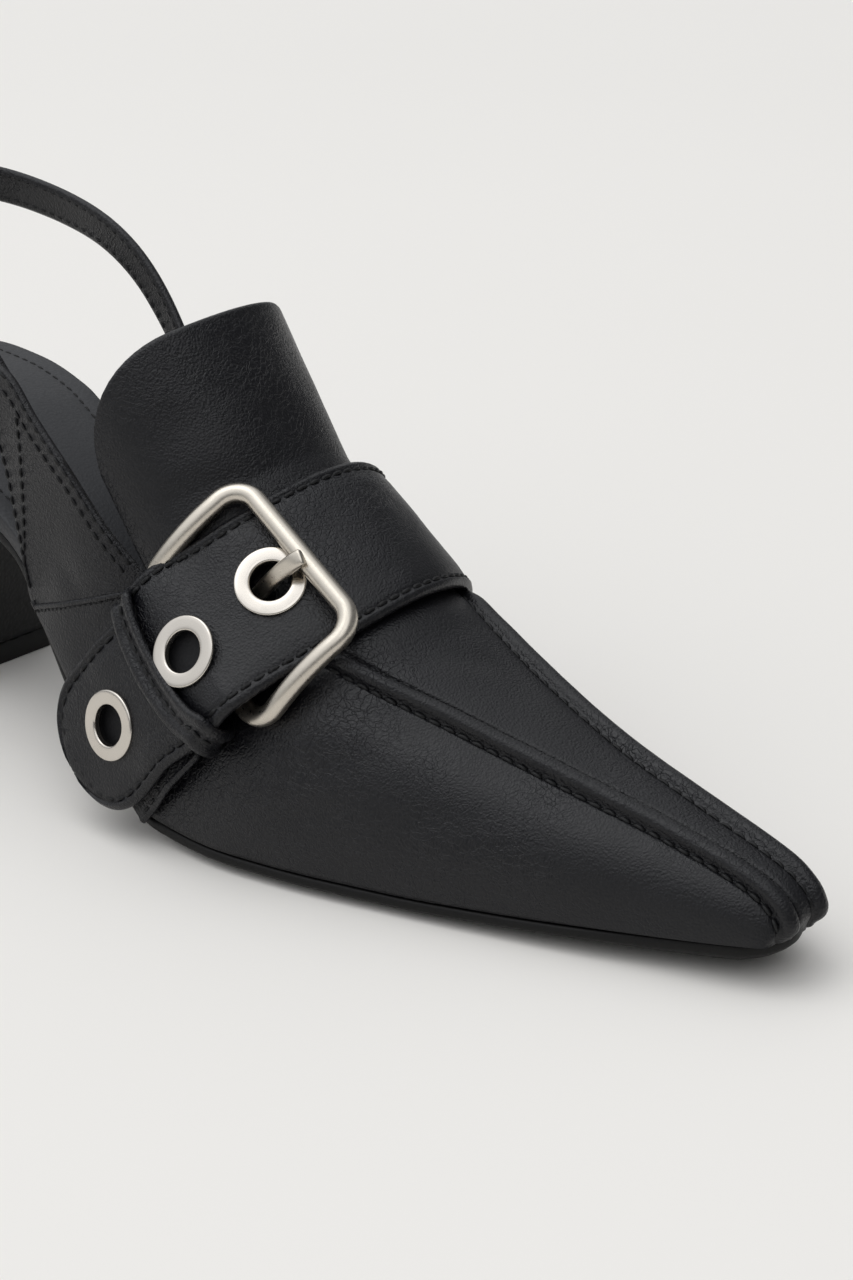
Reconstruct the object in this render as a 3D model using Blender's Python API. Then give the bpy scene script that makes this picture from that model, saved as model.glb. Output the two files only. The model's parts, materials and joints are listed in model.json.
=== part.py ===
"""Black leather slingback mule for the right foot, one shoe, built from its separate pieces.

Drawn in millimetres with the back of the heel at x = 0, the toe towards +x, the inner side of the
foot towards +y and the floor at z = 0. Every piece hangs on one empty that brings the drawing to
metres, with the origin under the middle of the shoe.
"""
import functools
import math

import bmesh
import bpy
import numpy as np
from mathutils import Matrix

MM = 0.001
GAP = 0.3
FOOT_GAP = 0.45

LEATHER = 1.8
SEAM_WIDTH = 2.3
SEAM_HEIGHT = 1.7
TOE_SINK = 0.3

SEAT_RADIUS = 27.0
TOE_END = 262.0
TOE_ROUND = 6.0
INSOLE_END = 246.0
INSOLE_THICK = 4.2
INSOLE_FRONT = 2.0
SOLE_THICK = 4.2
SOLE_EDGE = 2.2
SOLE_TUCK = 5.0
SHANK_THIN = 0.6

HEEL_BREAST = 47.0
HEEL_FOOT = (3.5, 45.0, 21.5)
HEEL_CORNER = 7.0
LIFT_THICK = 5.0

STRAP_WIDTH = 31.2
STRAP_THICK = 2.2
STRAP_ROW = 10.9
TAIL_TIP = -5.0
TAIL_ROUND = 14.5

EYELET_RADIUS = 7.1
EYELET_HOLE = 4.1
EYELET_BARREL = 4.7
EYELETS_AT = ((52.3, 0.0), (34.6, 1.9), (10.4, 0.0))

WIRE = 1.85
FRAME_HEIGHT = 38.4
FRAME_CORNER = 5.2
FRAME_ARCH = 2.7
FRAME_SHIFT = 0.5
FRAME_TILT = 0.07
FRAME_ROLL = 0.018
ROLL_WIDTH = 20.0
HINGE_AT = 34.0
HINGE_HEIGHT = 4.15
FRONT_BAR_AT = 58.0
FRONT_BAR_HEIGHT = 8.95
PRONG = 1.15
PRONG_EYE = 0.7
PRONG_SLOT = 4.4

CHAPE_WIDTH = 31.6
CHAPE_SHIFT = 2.1
CHAPE_THICK = 1.3
ROLL_THICK = 0.6
KEEPER_AT = 25.4
KEEPER_WIDTH = 6.0
KEEPER_THICK = 1.0
KEEPER_SLANT = 0.04
KEEPER_BOW = 2.6
KEEPER_LIFT = 0.6
KEEPER_SHIFT = 1.4
KEEPER_HALF = 17.5
KEEPER_EDGES = ((-0.5, 0.25), (-0.42, 1.0), (0.42, 1.0), (0.5, 0.25), (0.42, 0.0), (-0.42, 0.0))

SLING_WIDTH = 9.0
SLING_THICK = 2.0

TONGUE_AXIS = np.array((-0.56, 0.0, 0.83))
TONGUE_TOP = np.array((128.2, 0.0, 102.2))
TONGUE_CORNER = 16.5

# Footbed edge on both sides and the height of the sole's upper face, along the shoe
BED_COLUMNS = ("x", "outer", "inner", "top")
BED_ROWS = (
    (0.0, 27.0, 27.0, 61.5),
    (20.0, 27.0, 27.0, 61.0),
    (35.0, 27.0, 26.8, 60.0),
    (50.0, 25.6, 25.2, 57.3),
    (62.0, 24.2, 22.4, 53.2),
    (78.0, 24.0, 19.6, 45.6),
    (95.0, 28.4, 19.4, 33.8),
    (110.0, 32.6, 21.6, 21.8),
    (124.0, 35.6, 25.6, 11.2),
    (137.0, 37.2, 29.6, 5.2),
    (150.0, 37.2, 32.6, 4.1),
    (165.0, 35.2, 34.6, 4.0),
    (190.0, 29.0, 32.0, 4.1),
    (210.0, 23.2, 26.0, 4.8),
    (235.0, 15.4, 16.8, 6.4),
    (252.0, 10.0, 10.2, 7.8),
    (262.0, 6.4, 6.6, 8.8),
)

# Vamp sections from the toe back to the throat: where each stands on the footbed edge, the place of
# its two apron seams, the rise of the apron between them and the fullness of its side walls
VAMP_COLUMNS = ("foot", "seam_x", "seam_z", "outer", "inner", "crown", "full_out", "full_in")
VAMP_ROWS = (
    (261.5, 262.2, 9.3, 3.8, 4.4, 0.8, 0.30, 0.30),
    (260.0, 262.8, 12.0, 4.0, 4.6, 0.9, 0.45, 0.45),
    (257.0, 261.7, 14.9, 4.3, 4.8, 1.0, 0.55, 0.55),
    (251.0, 258.2, 17.9, 4.7, 5.1, 1.0, 0.60, 0.55),
    (242.0, 250.7, 20.7, 5.3, 5.5, 1.0, 0.62, 0.50),
    (228.0, 239.0, 23.8, 6.5, 6.0, 1.0, 0.64, 0.44),
    (211.0, 224.5, 27.2, 8.6, 7.2, 1.2, 0.66, 0.42),
    (192.0, 208.0, 31.5, 11.8, 9.4, 1.6, 0.66, 0.44),
    (172.0, 191.5, 36.4, 15.8, 12.6, 2.4, 0.66, 0.50),
    (152.0, 178.0, 40.4, 19.8, 15.8, 4.2, 0.62, 0.58),
    (133.4, 166.4, 43.6, 22.2, 18.6, 7.0, 0.46, 0.62),
    (118.8, 143.6, 45.0, 22.8, 24.0, 17.2, 0.36, 0.62),
    (105.4, 123.4, 49.6, 26.6, 26.6, 27.6, 0.38, 0.60),
)

# Quarters behind the throat, lower edge and collar; the sides keep their own distance from the middle
QUARTER_COLUMNS = (
    "low_x", "low_z", "low_out", "low_in", "high_x", "high_z", "high_out", "high_in", "drop_in",
)
QUARTER_ROWS = (
    (105.4, 0.0, 0.0, 0.0, 123.4, 49.6, 26.6, 26.6, 0.0),
    (98.5, 0.0, 0.0, 0.0, 113.0, 60.0, 29.6, 27.6, 2.0),
    (92.5, 0.0, 0.0, 0.0, 104.5, 69.0, 30.2, 28.0, 4.0),
    (88.6, 50.0, 29.6, 25.5, 95.0, 77.2, 29.6, 28.2, 4.6),
    (85.2, 63.0, 29.0, 27.2, 86.8, 84.4, 28.8, 28.2, 7.4),
    (76.4, 79.4, 28.6, 28.0, 79.2, 87.2, 28.6, 28.0, 5.0),
    (65.4, 87.6, 28.8, 28.4, 69.0, 93.6, 28.8, 28.4, 0.0),
)

# The inner quarter ends sooner, behind the tongue, with a narrowed tip
INNER_END = 4.4
INNER_TAPER = 0.35

# Middle line of the sling on each side, from the quarter's end round to the back of the heel
SLING_COLUMNS = ("x", "z", "outer", "inner")
SLING_ROWS = (
    (84.0, 73.6, 23.2, 23.2),
    (76.0, 82.4, 23.2, 25.2),
    (66.0, 91.4, 24.0, 26.4),
    (54.0, 97.2, 27.2, 27.0),
    (40.0, 99.8, 28.2, 27.8),
    (24.0, 102.0, 26.0, 26.0),
    (10.0, 103.2, 17.8, 17.8),
    (3.5, 103.6, 7.0, 7.0),
    (2.5, 103.7, 0.0, 0.0),
)

# Strap height over the upper, from its tail tip to the far end, measured round the instep
TAIL_COLUMNS = ("along", "height")
TAIL_ROWS = (
    (-6.5, 2.8),
    (9.5, 3.65),
    (16.0, 4.6),
    (24.5, 5.25),
    (29.0, 7.0),
    (34.0, 8.05),
    (40.0, 6.9),
    (46.0, 5.5),
    (52.5, 4.0),
    (58.0, 3.2),
    (68.0, 2.8),
    (200.0, 2.8),
)


def table(columns, rows):
    """Named columns of a table of rows."""
    return {name: np.array(column, dtype=float) for name, column in zip(columns, zip(*rows))}


def ease(xs, ys, at):
    """Smooth curve through the points of a table, without overshoot between them."""
    xs = np.asarray(xs, dtype=float)
    ys = np.asarray(ys, dtype=float)
    at = np.asarray(at, dtype=float)
    step = np.diff(xs)
    rise = np.diff(ys) / step
    slope = np.empty(len(xs))
    slope[0] = rise[0]
    slope[-1] = rise[-1]
    weight_a = 2 * step[1:] + step[:-1]
    weight_b = step[1:] + 2 * step[:-1]
    same = rise[:-1] * rise[1:] > 0
    safe_a = np.where(same, rise[:-1], 1.0)
    safe_b = np.where(same, rise[1:], 1.0)
    mean = (weight_a + weight_b) / (weight_a / safe_a + weight_b / safe_b)
    slope[1:-1] = np.where(same, mean, 0.0)
    i = np.clip(np.searchsorted(xs, at, side="right") - 1, 0, len(step) - 1)
    t = (at - xs[i]) / step[i]
    inside = np.clip(t, 0.0, 1.0)
    a = ys[i] * (1 + 2 * inside) * (1 - inside) ** 2 + ys[i + 1] * inside ** 2 * (3 - 2 * inside)
    b = step[i] * inside * (1 - inside) * (slope[i] * (1 - inside) - slope[i + 1] * inside)
    past = step[i] * (t - inside) * np.where(t > 1, slope[i + 1], slope[i])
    return a + b + past


BED = table(BED_COLUMNS, BED_ROWS)
VAMP = table(VAMP_COLUMNS, VAMP_ROWS)
QUARTER = table(QUARTER_COLUMNS, QUARTER_ROWS)
SLING = table(SLING_COLUMNS, SLING_ROWS)
TAIL = table(TAIL_COLUMNS, TAIL_ROWS)
THROAT = len(VAMP_ROWS) - 1


def unit(vectors):
    """Vectors brought to length one."""
    vectors = np.asarray(vectors, dtype=float)
    return vectors / np.maximum(np.linalg.norm(vectors, axis=-1, keepdims=True), 1e-9)


def bed_top(x):
    """Height of the sole's upper face."""
    return ease(BED["x"], BED["top"], x)


def bed_edge(x, side):
    """Distance of the footbed's edge from the middle line; side is 'outer' or 'inner'."""
    return ease(BED["x"], BED[side], x)


def foot_edge(x, side):
    """Where the outer face of the upper stands on the footbed edge."""
    sign = -1.0 if side == "outer" else 1.0
    return sign * (bed_edge(x, side) + LEATHER + GAP)


def wall(low, high, full, t):
    """Side wall from its foot to its upper edge, bulging towards the corner over the foot."""
    corner = np.array((high[0], low[1], high[2]))
    middle = (low + high) / 2
    pull = middle + full * (corner - middle)
    t = np.asarray(t)[:, None]
    return low * (1 - t) ** 2 + 2 * pull * t * (1 - t) + high * t ** 2


def vamp_points(row, girth):
    """Outer face of the vamp at one section.

    girth runs from 0 at the outer foot to 1 at the outer seam, 2 at the inner seam and 3 at the
    inner foot.
    """
    at = np.arange(THROAT + 1)
    size = {name: float(ease(at, values, row)) for name, values in VAMP.items()}
    foot = size["foot"]
    ground = float(bed_top(foot)) + FOOT_GAP
    low_out = np.array((foot, float(foot_edge(foot, "outer")), ground))
    low_in = np.array((foot, float(foot_edge(foot, "inner")), ground))
    high_out = np.array((size["seam_x"], -size["outer"], size["seam_z"]))
    high_in = np.array((size["seam_x"], size["inner"], size["seam_z"]))
    up = unit(np.array((size["seam_x"] - foot, 0.0, max(size["seam_z"] - ground, 0.0))))
    girth = np.asarray(girth, dtype=float)
    points = np.empty((len(girth), 3))
    first = girth <= 1
    last = girth >= 2
    between = ~(first | last)
    points[first] = wall(low_out, high_out, size["full_out"], girth[first])
    points[last] = wall(low_in, high_in, size["full_in"], 3 - girth[last])
    half = (size["outer"] + size["inner"]) / 2
    opening = 2 * math.atan(size["crown"] / half)
    turn = (2 * (girth[between] - 1) - 1) * opening
    across = half * np.sin(turn) / math.sin(opening)
    rise = size["crown"] * (np.cos(turn) - math.cos(opening)) / (1 - math.cos(opening))
    middle = (high_out + high_in) / 2
    points[between] = middle + across[:, None] * np.array((0.0, 1.0, 0.0)) + rise[:, None] * up
    return points


def quarter_points(row, t, side):
    """Outer face of one quarter behind the throat, from its lower edge to the collar."""
    at = np.arange(len(QUARTER_ROWS))
    size = {name: float(ease(at, values, row)) for name, values in QUARTER.items()}
    standing = 2
    mark = "out" if side == "outer" else "in"
    sign = -1.0 if side == "outer" else 1.0
    foot_z = bed_top(QUARTER["low_x"]) + FOOT_GAP
    foot_y = np.abs(foot_edge(QUARTER["low_x"], side))
    low_z = np.where(at <= standing, foot_z, QUARTER["low_z"])
    low_y = np.where(at <= standing, foot_y, QUARTER["low_" + mark])
    low = np.array((size["low_x"], sign * float(ease(at, low_y, row)), float(ease(at, low_z, row))))
    drop = 0.0 if side == "outer" else size["drop_in"]
    high = np.array((size["high_x"], sign * size["high_" + mark], size["high_z"] - drop))
    full = VAMP["full_" + mark][THROAT] * (1 - 0.6 * row / at[-1])
    return wall(low, high, full, t)


def tongue_points(level, across):
    """Outer face of the tongue; level runs from 0 at the throat to 1 at its rounded upper edge."""
    base = vamp_points(THROAT, 1 + (across + 1) / 2)
    reach = (base - TONGUE_TOP) @ TONGUE_AXIS
    corner = np.clip((np.abs(across) - 0.45) / 0.55, 0.0, 1.0) ** 2
    length = -TONGUE_CORNER * corner - reach
    middle = (base[0] + base[-1]) / 2
    spread = 1 + 0.01 * level ** 2
    shape = middle + (base - middle) * np.array((1.0, spread, 1.0))
    return shape + (level * length)[:, None] * TONGUE_AXIS


def grid_normals(grid):
    """Normals of a grid of points, pointing out of the foot."""
    along = np.gradient(grid, axis=0)
    across = np.gradient(grid, axis=1)
    return unit(np.cross(across, along))


def collection(name, hidden=False):
    """Collection of the scene; a hidden one keeps the cutters."""
    group = bpy.data.collections.new(name)
    bpy.context.scene.collection.children.link(group)
    group.hide_render = hidden
    return group


def material(name, colour, roughness, metallic):
    """Plain material of one piece."""
    made = bpy.data.materials.new(name)
    made.use_nodes = True
    shader = made.node_tree.nodes["Principled BSDF"]
    shader.inputs["Base Color"].default_value = (*colour, 1.0)
    shader.inputs["Roughness"].default_value = roughness
    shader.inputs["Metallic"].default_value = metallic
    made.diffuse_color = (*colour, 1.0)
    return made


def new_object(name, points, faces, group, surface=None):
    """Mesh object from points and faces, with its faces turned outwards."""
    mesh = bpy.data.meshes.new(name)
    build = bmesh.new()
    corners = [build.verts.new(point) for point in np.asarray(points, dtype=float)]
    for face in faces:
        build.faces.new([corners[i] for i in face])
    bmesh.ops.recalc_face_normals(build, faces=build.faces)
    build.to_mesh(mesh)
    build.free()
    made = bpy.data.objects.new(name, mesh)
    if surface is not None:
        mesh.materials.append(surface)
    group.objects.link(made)
    return made


def loft(sections, closed=False):
    """Points and faces of a solid through a row of sections with equal numbers of corners."""
    sections = np.asarray(sections, dtype=float)
    rows, corners = sections.shape[:2]
    faces = []
    for i in range(rows if closed else rows - 1):
        after = (i + 1) % rows
        for j in range(corners):
            k = (j + 1) % corners
            faces.append((i * corners + j, i * corners + k, after * corners + k, after * corners + j))
    if not closed:
        faces.append(tuple(range(corners)))
        faces.append(tuple((rows - 1) * corners + j for j in range(corners)))
    return sections.reshape(-1, 3), faces


def stack(rings):
    """Points and faces of a solid through level rings; each ring holds two halves of equal stations."""
    rings = np.asarray(rings, dtype=float)
    levels, _, stations = rings.shape[:3]
    loops = np.concatenate((rings[:, 0], rings[:, 1, ::-1]), axis=1)
    count = 2 * stations
    faces = []
    for i in range(levels - 1):
        for j in range(count):
            k = (j + 1) % count
            faces.append((i * count + j, i * count + k, (i + 1) * count + k, (i + 1) * count + j))
    for level in (0, levels - 1):
        start = level * count
        for j in range(stations - 1):
            far = count - 1 - j
            faces.append((start + j, start + j + 1, start + far - 1, start + far))
    return loops.reshape(-1, 3), faces


def shell(outer, inner, faces):
    """Closed wall between two layers of the same open surface."""
    count = len(outer)
    edges = {}
    for face in faces:
        for a, b in zip(face, face[1:] + face[:1]):
            edges[(min(a, b), max(a, b))] = edges.get((min(a, b), max(a, b)), 0) + 1
    made = list(faces)
    made += [tuple(i + count for i in reversed(face)) for face in faces]
    made += [(a, b, b + count, a + count) for (a, b), uses in edges.items() if uses == 1]
    return np.concatenate((outer, inner)), made


def outline(end, grow):
    """Both sides of the footbed's outline up to one end, moved outwards; returned as two halves."""
    turn = np.linspace(0.06, 1.0, 8) * math.pi / 2
    back = SEAT_RADIUS * (1 - np.cos(turn))
    body = np.linspace(SEAT_RADIUS, end - TOE_ROUND, 32)[1:]
    tip = end - TOE_ROUND + TOE_ROUND * np.sin(np.linspace(0.2, 0.97, 5) * math.pi / 2)
    x = np.concatenate((back, body, tip))
    round_back = np.sqrt(1 - np.clip(1 - x / SEAT_RADIUS, 0, 1) ** 2)
    round_tip = np.sqrt(1 - np.clip((x - end + TOE_ROUND) / TOE_ROUND, 0, 1) ** 2)
    halves = []
    for side, sign in (("outer", -1.0), ("inner", 1.0)):
        halves.append(np.stack((x, sign * bed_edge(x, side) * round_back * round_tip), axis=1))
    loop = np.concatenate((halves[0], halves[1][::-1]))
    tangent = unit(np.roll(loop, -1, axis=0) - np.roll(loop, 1, axis=0))
    outwards = np.stack((tangent[:, 1], -tangent[:, 0]), axis=1)
    amount = grow(loop[:, 0]) if callable(grow) else np.full(len(loop), float(grow))
    moved = loop + outwards * amount[:, None]
    count = len(x)
    return np.stack((moved[:count], moved[count:][::-1]))


def bed_ring(end, grow, drop):
    """Outline at a height measured down from the sole's upper face."""
    halves = outline(end, grow)
    amount = drop(halves[..., 0]) if callable(drop) else drop
    return np.concatenate((halves, (bed_top(halves[..., 0]) - amount)[..., None]), axis=-1)


def fade(x, start, stop):
    """Rises smoothly from 0 to 1 between two stations."""
    t = np.clip((np.asarray(x, dtype=float) - start) / (stop - start), 0.0, 1.0)
    return t * t * (3 - 2 * t)


def sole_thickness(x):
    """Thickness of the outsole, slimmer under the arch and the seat."""
    return SOLE_THICK - SHANK_THIN * (1 - fade(x, 60, 140))


def make_sole(group, surfaces):
    """Outsole with a slim edge tucked in below and the footbed on top of it."""
    def edge(x):
        return SOLE_EDGE * fade(x, 78, 112) * (1 - 0.7 * fade(x, 222, 258))

    def tuck(x):
        return 1.6 + (SOLE_TUCK - 1.6) * fade(x, 78, 112)

    rings = [
        bed_ring(TOE_END, lambda x: edge(x) - 0.7, 0.0),
        bed_ring(TOE_END, edge, lambda x: 0.25 * sole_thickness(x)),
        bed_ring(TOE_END, lambda x: edge(x) - 0.2 * tuck(x), lambda x: 0.6 * sole_thickness(x)),
        bed_ring(TOE_END, lambda x: edge(x) - tuck(x), sole_thickness),
    ]
    rings = np.array(rings)
    rings[..., 2] = np.maximum(rings[..., 2], 0.0)
    new_object("outsole", *stack(rings), group, surfaces["sole_edge"])

    def inset(x):
        return -1.5 * fade(x, 82, 98)

    def height(x):
        return INSOLE_THICK + (INSOLE_FRONT - INSOLE_THICK) * fade(x, 80, 112)

    rings = [
        bed_ring(INSOLE_END, lambda x: inset(x) - 2.6, lambda x: -FOOT_GAP - height(x)),
        bed_ring(INSOLE_END, lambda x: inset(x) - 0.7, lambda x: -FOOT_GAP - height(x) + 0.25),
        bed_ring(INSOLE_END, inset, lambda x: -FOOT_GAP - 0.7 * height(x)),
        bed_ring(INSOLE_END, inset, -FOOT_GAP),
    ]
    new_object("insole", *stack(rings), group, surfaces["insole"])


def heel_half(back, breast, width, corner, sign):
    """Half of a heel outline from the middle of its back round to the middle of its breast."""
    arc = np.linspace(0.05, 1.0, 8) * math.pi / 2
    round_back = np.stack((back + width * (1 - np.cos(arc)), width * np.sin(arc)), axis=1)
    bend = np.linspace(0.0, 1.0, 5) * math.pi / 2
    centre = np.array((breast - corner, width - corner))
    round_front = centre + corner * np.stack((np.sin(bend), np.cos(bend)), axis=1)
    middle = np.array(((breast, 0.4 * width), (breast, 0.08 * width)))
    half = np.concatenate((round_back, round_front, middle))
    half[:, 1] *= sign
    return half


def make_heel(group, surfaces):
    """Block heel under the seat and the lift it stands on."""
    foot = [heel_half(*HEEL_FOOT, HEEL_CORNER, sign) for sign in (-1.0, 1.0)]
    seat = [heel_half(1.3, HEEL_BREAST, SEAT_RADIUS - 1.3, HEEL_CORNER, sign) for sign in (-1.0, 1.0)]
    foot = np.array(foot)
    seat = np.array(seat)
    top = bed_top(seat[..., 0]) - sole_thickness(seat[..., 0]) - GAP
    rings = []
    for level, part in ((1.0, 1.0), (0.93, 0.9), (0.8, 0.7), (0.6, 0.45), (0.35, 0.2), (0.0, 0.0)):
        plan = foot + (seat - foot) * part
        height = LIFT_THICK + GAP + level * (top - LIFT_THICK - GAP)
        rings.append(np.concatenate((plan, height[..., None]), axis=-1))
    new_object("heel", *stack(rings), group, surfaces["heel"])
    rings = []
    for inset, height in ((0.0, LIFT_THICK), (0.0, 0.5), (0.5, 0.0)):
        back, breast, width = HEEL_FOOT
        size = (back + inset, breast - inset, width - inset)
        plan = np.array([heel_half(*size, HEEL_CORNER, sign) for sign in (-1.0, 1.0)])
        rings.append(np.concatenate((plan, np.full(plan.shape[:2] + (1,), height)), axis=-1))
    new_object("top_lift", *stack(rings), group, surfaces["lift"])


def seam_columns(row):
    """Girth stations of one vamp section and how far each stands up for the raised seams."""
    probe = vamp_points(row, np.linspace(0, 3, 61))
    length = np.linalg.norm(np.diff(probe, axis=0), axis=1)
    side_out = min(SEAM_WIDTH / length[:20].sum(), 0.35)
    apron = min(SEAM_WIDTH / length[20:40].sum(), 0.22)
    side_in = min(SEAM_WIDTH / length[40:].sum(), 0.35)
    outer = np.linspace(0, 1 - side_out, 7)
    ridge_out = np.array((1 - side_out / 2, 1.0, 1 + apron / 2))
    spread = np.sin(np.linspace(-1, 1, 10) * 1.25) / math.sin(1.25)
    middle = 1.5 + (0.5 - apron) * spread
    ridge_in = np.array((2 - apron / 2, 2.0, 2 + side_in / 2))
    inner = np.linspace(2 + side_in, 3, 7)
    girth = np.concatenate((outer, ridge_out, middle, ridge_in, inner))
    raised = SEAM_HEIGHT * (1 - fade(row, 9.6, 10.6))
    hump = raised * np.array((0.72, 1.0, 0.72))
    bump = np.zeros(len(girth))
    bump[7:10] = hump
    bump[20:23] = hump
    return girth, bump


def make_upper(group, surfaces):
    """Vamp, tongue and quarters as one wall of leather, open below and at the throat."""
    rows = np.concatenate((np.linspace(0, 4, 9), np.linspace(4.5, THROAT, 18)))
    grid = []
    bumps = []
    for row in rows:
        girth, bump = seam_columns(row)
        grid.append(vamp_points(row, girth))
        bumps.append(bump)
    grid = np.array(grid)
    normal = grid_normals(grid)
    sunk = TOE_SINK + (1 - TOE_SINK) * fade(rows, 0.0, 1.5)
    outer = grid + (np.array(bumps) * sunk[:, None])[..., None] * normal
    inner = grid - LEATHER * normal
    count = grid.shape[1]
    seam_out = 8
    seam_in = count - 9
    for column, sign in ((0, -1.0), (count - 1, 1.0)):
        inner[:, column] = grid[:, column] - LEATHER * np.array((0.0, sign, 0.0))
    fan = np.linspace(-1, 1, count)
    inner[0] = grid[0] - LEATHER * unit(np.stack((np.ones(count), fan, np.zeros(count)), axis=1))
    for column in (0, count - 1):
        inner[:, column, 2] = bed_top(inner[:, column, 0]) + FOOT_GAP
        outer[:, column, 2] = bed_top(outer[:, column, 0]) + FOOT_GAP
    inner[0, :, 2] = bed_top(inner[0, :, 0]) + FOOT_GAP
    inner[..., 2] = np.maximum(inner[..., 2], bed_top(inner[..., 0]) + FOOT_GAP)
    outer[0, :, 2] = bed_top(outer[0, :, 0]) + FOOT_GAP
    points_out = list(outer.reshape(-1, 3))
    points_in = list(inner.reshape(-1, 3))
    faces = []
    last = len(rows) - 1
    for i in range(last):
        for j in range(count - 1):
            a = i * count + j
            faces.append((a, a + 1, a + count + 1, a + count))

    def branch(patch, first_index, foot_column=None, foot_rows=0):
        """Adds rows behind the throat to the vamp's last row of points."""
        lean = grid_normals(patch)
        if foot_column is not None:
            sideways = np.array((0.0, math.copysign(1.0, patch[0, foot_column, 1]), 0.0))
            lean[:foot_rows, foot_column] = sideways
        above = list(first_index)
        for line, normals in zip(patch[1:], lean[1:]):
            below = list(range(len(points_out), len(points_out) + len(line)))
            points_out.extend(line)
            points_in.extend(line - LEATHER * normals)
            for j in range(len(line) - 1):
                faces.append((above[j], above[j + 1], below[j + 1], below[j]))
            above = below

    start = last * count
    girth, _ = seam_columns(THROAT)
    across = 2 * (girth[seam_out:seam_in + 1] - 1) - 1
    patch = np.array([tongue_points(level, across) for level in np.linspace(0, 1, 9)])
    branch(patch, range(start + seam_out, start + seam_in + 1))
    steps = 13
    standing = 5
    t_out = girth[:seam_out + 1]
    behind = np.linspace(0, len(QUARTER_ROWS) - 1, steps)
    patch = np.array([quarter_points(row, t_out, "outer") for row in behind])
    branch(patch, range(start, start + seam_out + 1), 0, standing)
    t_in = 3 - girth[seam_in:]
    behind = np.linspace(0, INNER_END, steps)
    patch = []
    for row in behind:
        low = INNER_TAPER * fade(row, INNER_END - 1.2, INNER_END)
        patch.append(quarter_points(row, low + (1 - low) * t_in, "inner"))
    branch(np.array(patch), range(start + seam_in, start + count), len(t_in) - 1, standing)
    layers = shell(np.array(points_out), np.array(points_in), faces)
    new_object("upper", *layers, group, surfaces["upper"])


def strip(middles, across, outwards, widths, thick):
    """Leather band with softened edges along a path; returns its sections."""
    sections = []
    for middle, side, out, width in zip(middles, across, outwards, widths):
        soft = min(0.45 * thick, 0.4 * width)
        shape = (
            (-width / 2, 0.3 * thick), (-width / 2 + soft, thick), (0.0, thick),
            (width / 2 - soft, thick), (width / 2, 0.3 * thick), (width / 2 - soft, 0.0),
            (0.0, 0.0), (-width / 2 + soft, 0.0),
        )
        sections.append([middle + u * side + v * out for u, v in shape])
    return np.array(sections)


def make_sling(group, surfaces):
    """Narrow strap from the inside of both quarters round the back of the heel."""
    at = np.arange(len(SLING_ROWS), dtype=float)
    fine = np.linspace(0, at[-1], 22)
    x, z, outer, inner = (ease(at, SLING[name], fine) for name in SLING_COLUMNS)
    path = np.concatenate((np.stack((x, -outer, z), axis=1), np.stack((x, inner, z), axis=1)[-2::-1]))
    ahead = unit(np.gradient(path, axis=0))
    centre = np.array((45.0, 0.0, 90.0))
    level = unit(np.cross(ahead, np.array((0.0, 0.0, 1.0))))
    facing = np.sign(np.sum((path - centre) * level, axis=1))[:, None]
    out = level * facing
    up = unit(np.cross(out, ahead))
    up *= np.sign(up[:, 2:3])
    lean = unit(up - 0.12 * out)
    widths = np.full(len(path), SLING_WIDTH)
    sections = strip(path, lean, out, widths, SLING_THICK)
    new_object("sling_strap", *loft(sections), group, surfaces["upper"])


@functools.lru_cache(maxsize=1)
def strap_line():
    """Girth stations under the strap's middle with their distance round the instep."""
    girth = np.linspace(0, 3, 241)
    points = vamp_points(STRAP_ROW, girth)
    along = np.concatenate(((0.0,), np.cumsum(np.linalg.norm(np.diff(points, axis=0), axis=1))))
    return girth, along


def instep(row, along):
    """Outer face of the upper at a distance round the instep; past its foot it runs straight on."""
    girth, length = strap_line()
    at = float(np.interp(max(along, 0.0), length, girth))
    point = vamp_points(row, (at,))[0]
    if along < 0:
        first = vamp_points(row, (0.0, 0.05))
        point = point + along * unit(first[1] - first[0])
    return point


def strap_frame(along):
    """Point on the upper under the strap's middle with the strap's directions there."""
    point = instep(STRAP_ROW, along)
    onward = unit(instep(STRAP_ROW, along + 0.5) - instep(STRAP_ROW, along - 0.5))
    side = instep(STRAP_ROW - 0.35, along) - instep(STRAP_ROW + 0.35, along)
    side = unit(side - onward * (side @ onward))
    out = unit(np.cross(onward, side))
    if out @ (point - np.array((point[0], 0.0, 20.0))) < 0:
        out = -out
    return point, onward, side, out


def smooth_frames(stations):
    """Frames along the strap, eased over the seams by averaging neighbouring stations."""
    points = []
    sides = []
    outs = []
    for along in stations:
        near = [strap_frame(along + step) for step in (-6.0, -4.0, -2.0, 0.0, 2.0, 4.0, 6.0)]
        points.append(np.mean([frame[0] for frame in near[2:5]], axis=0))
        sides.append(np.mean([frame[2] for frame in near], axis=0))
        outs.append(np.mean([frame[3] for frame in near], axis=0))
    return np.array(points), unit(sides), unit(outs)


def tail_height(along):
    """Height of the strap's under face over the upper."""
    return ease(TAIL["along"], TAIL["height"], along)


def strap_points(stations):
    """Middle of the strap's under face, with its side and outward directions."""
    points, sides, outs = smooth_frames(stations)
    path = points + tail_height(stations)[:, None] * outs
    onward = unit(np.gradient(path, axis=0))
    sides = unit(sides - onward * np.sum(sides * onward, axis=1)[:, None])
    outs_new = np.cross(onward, sides)
    outs_new *= np.sign(np.sum(outs_new * outs, axis=1))[:, None]
    return path, sides, unit(outs_new)


def strap_length():
    """Distance round the instep from the outer foot to the inner foot."""
    return float(strap_line()[1][-1])


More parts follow.
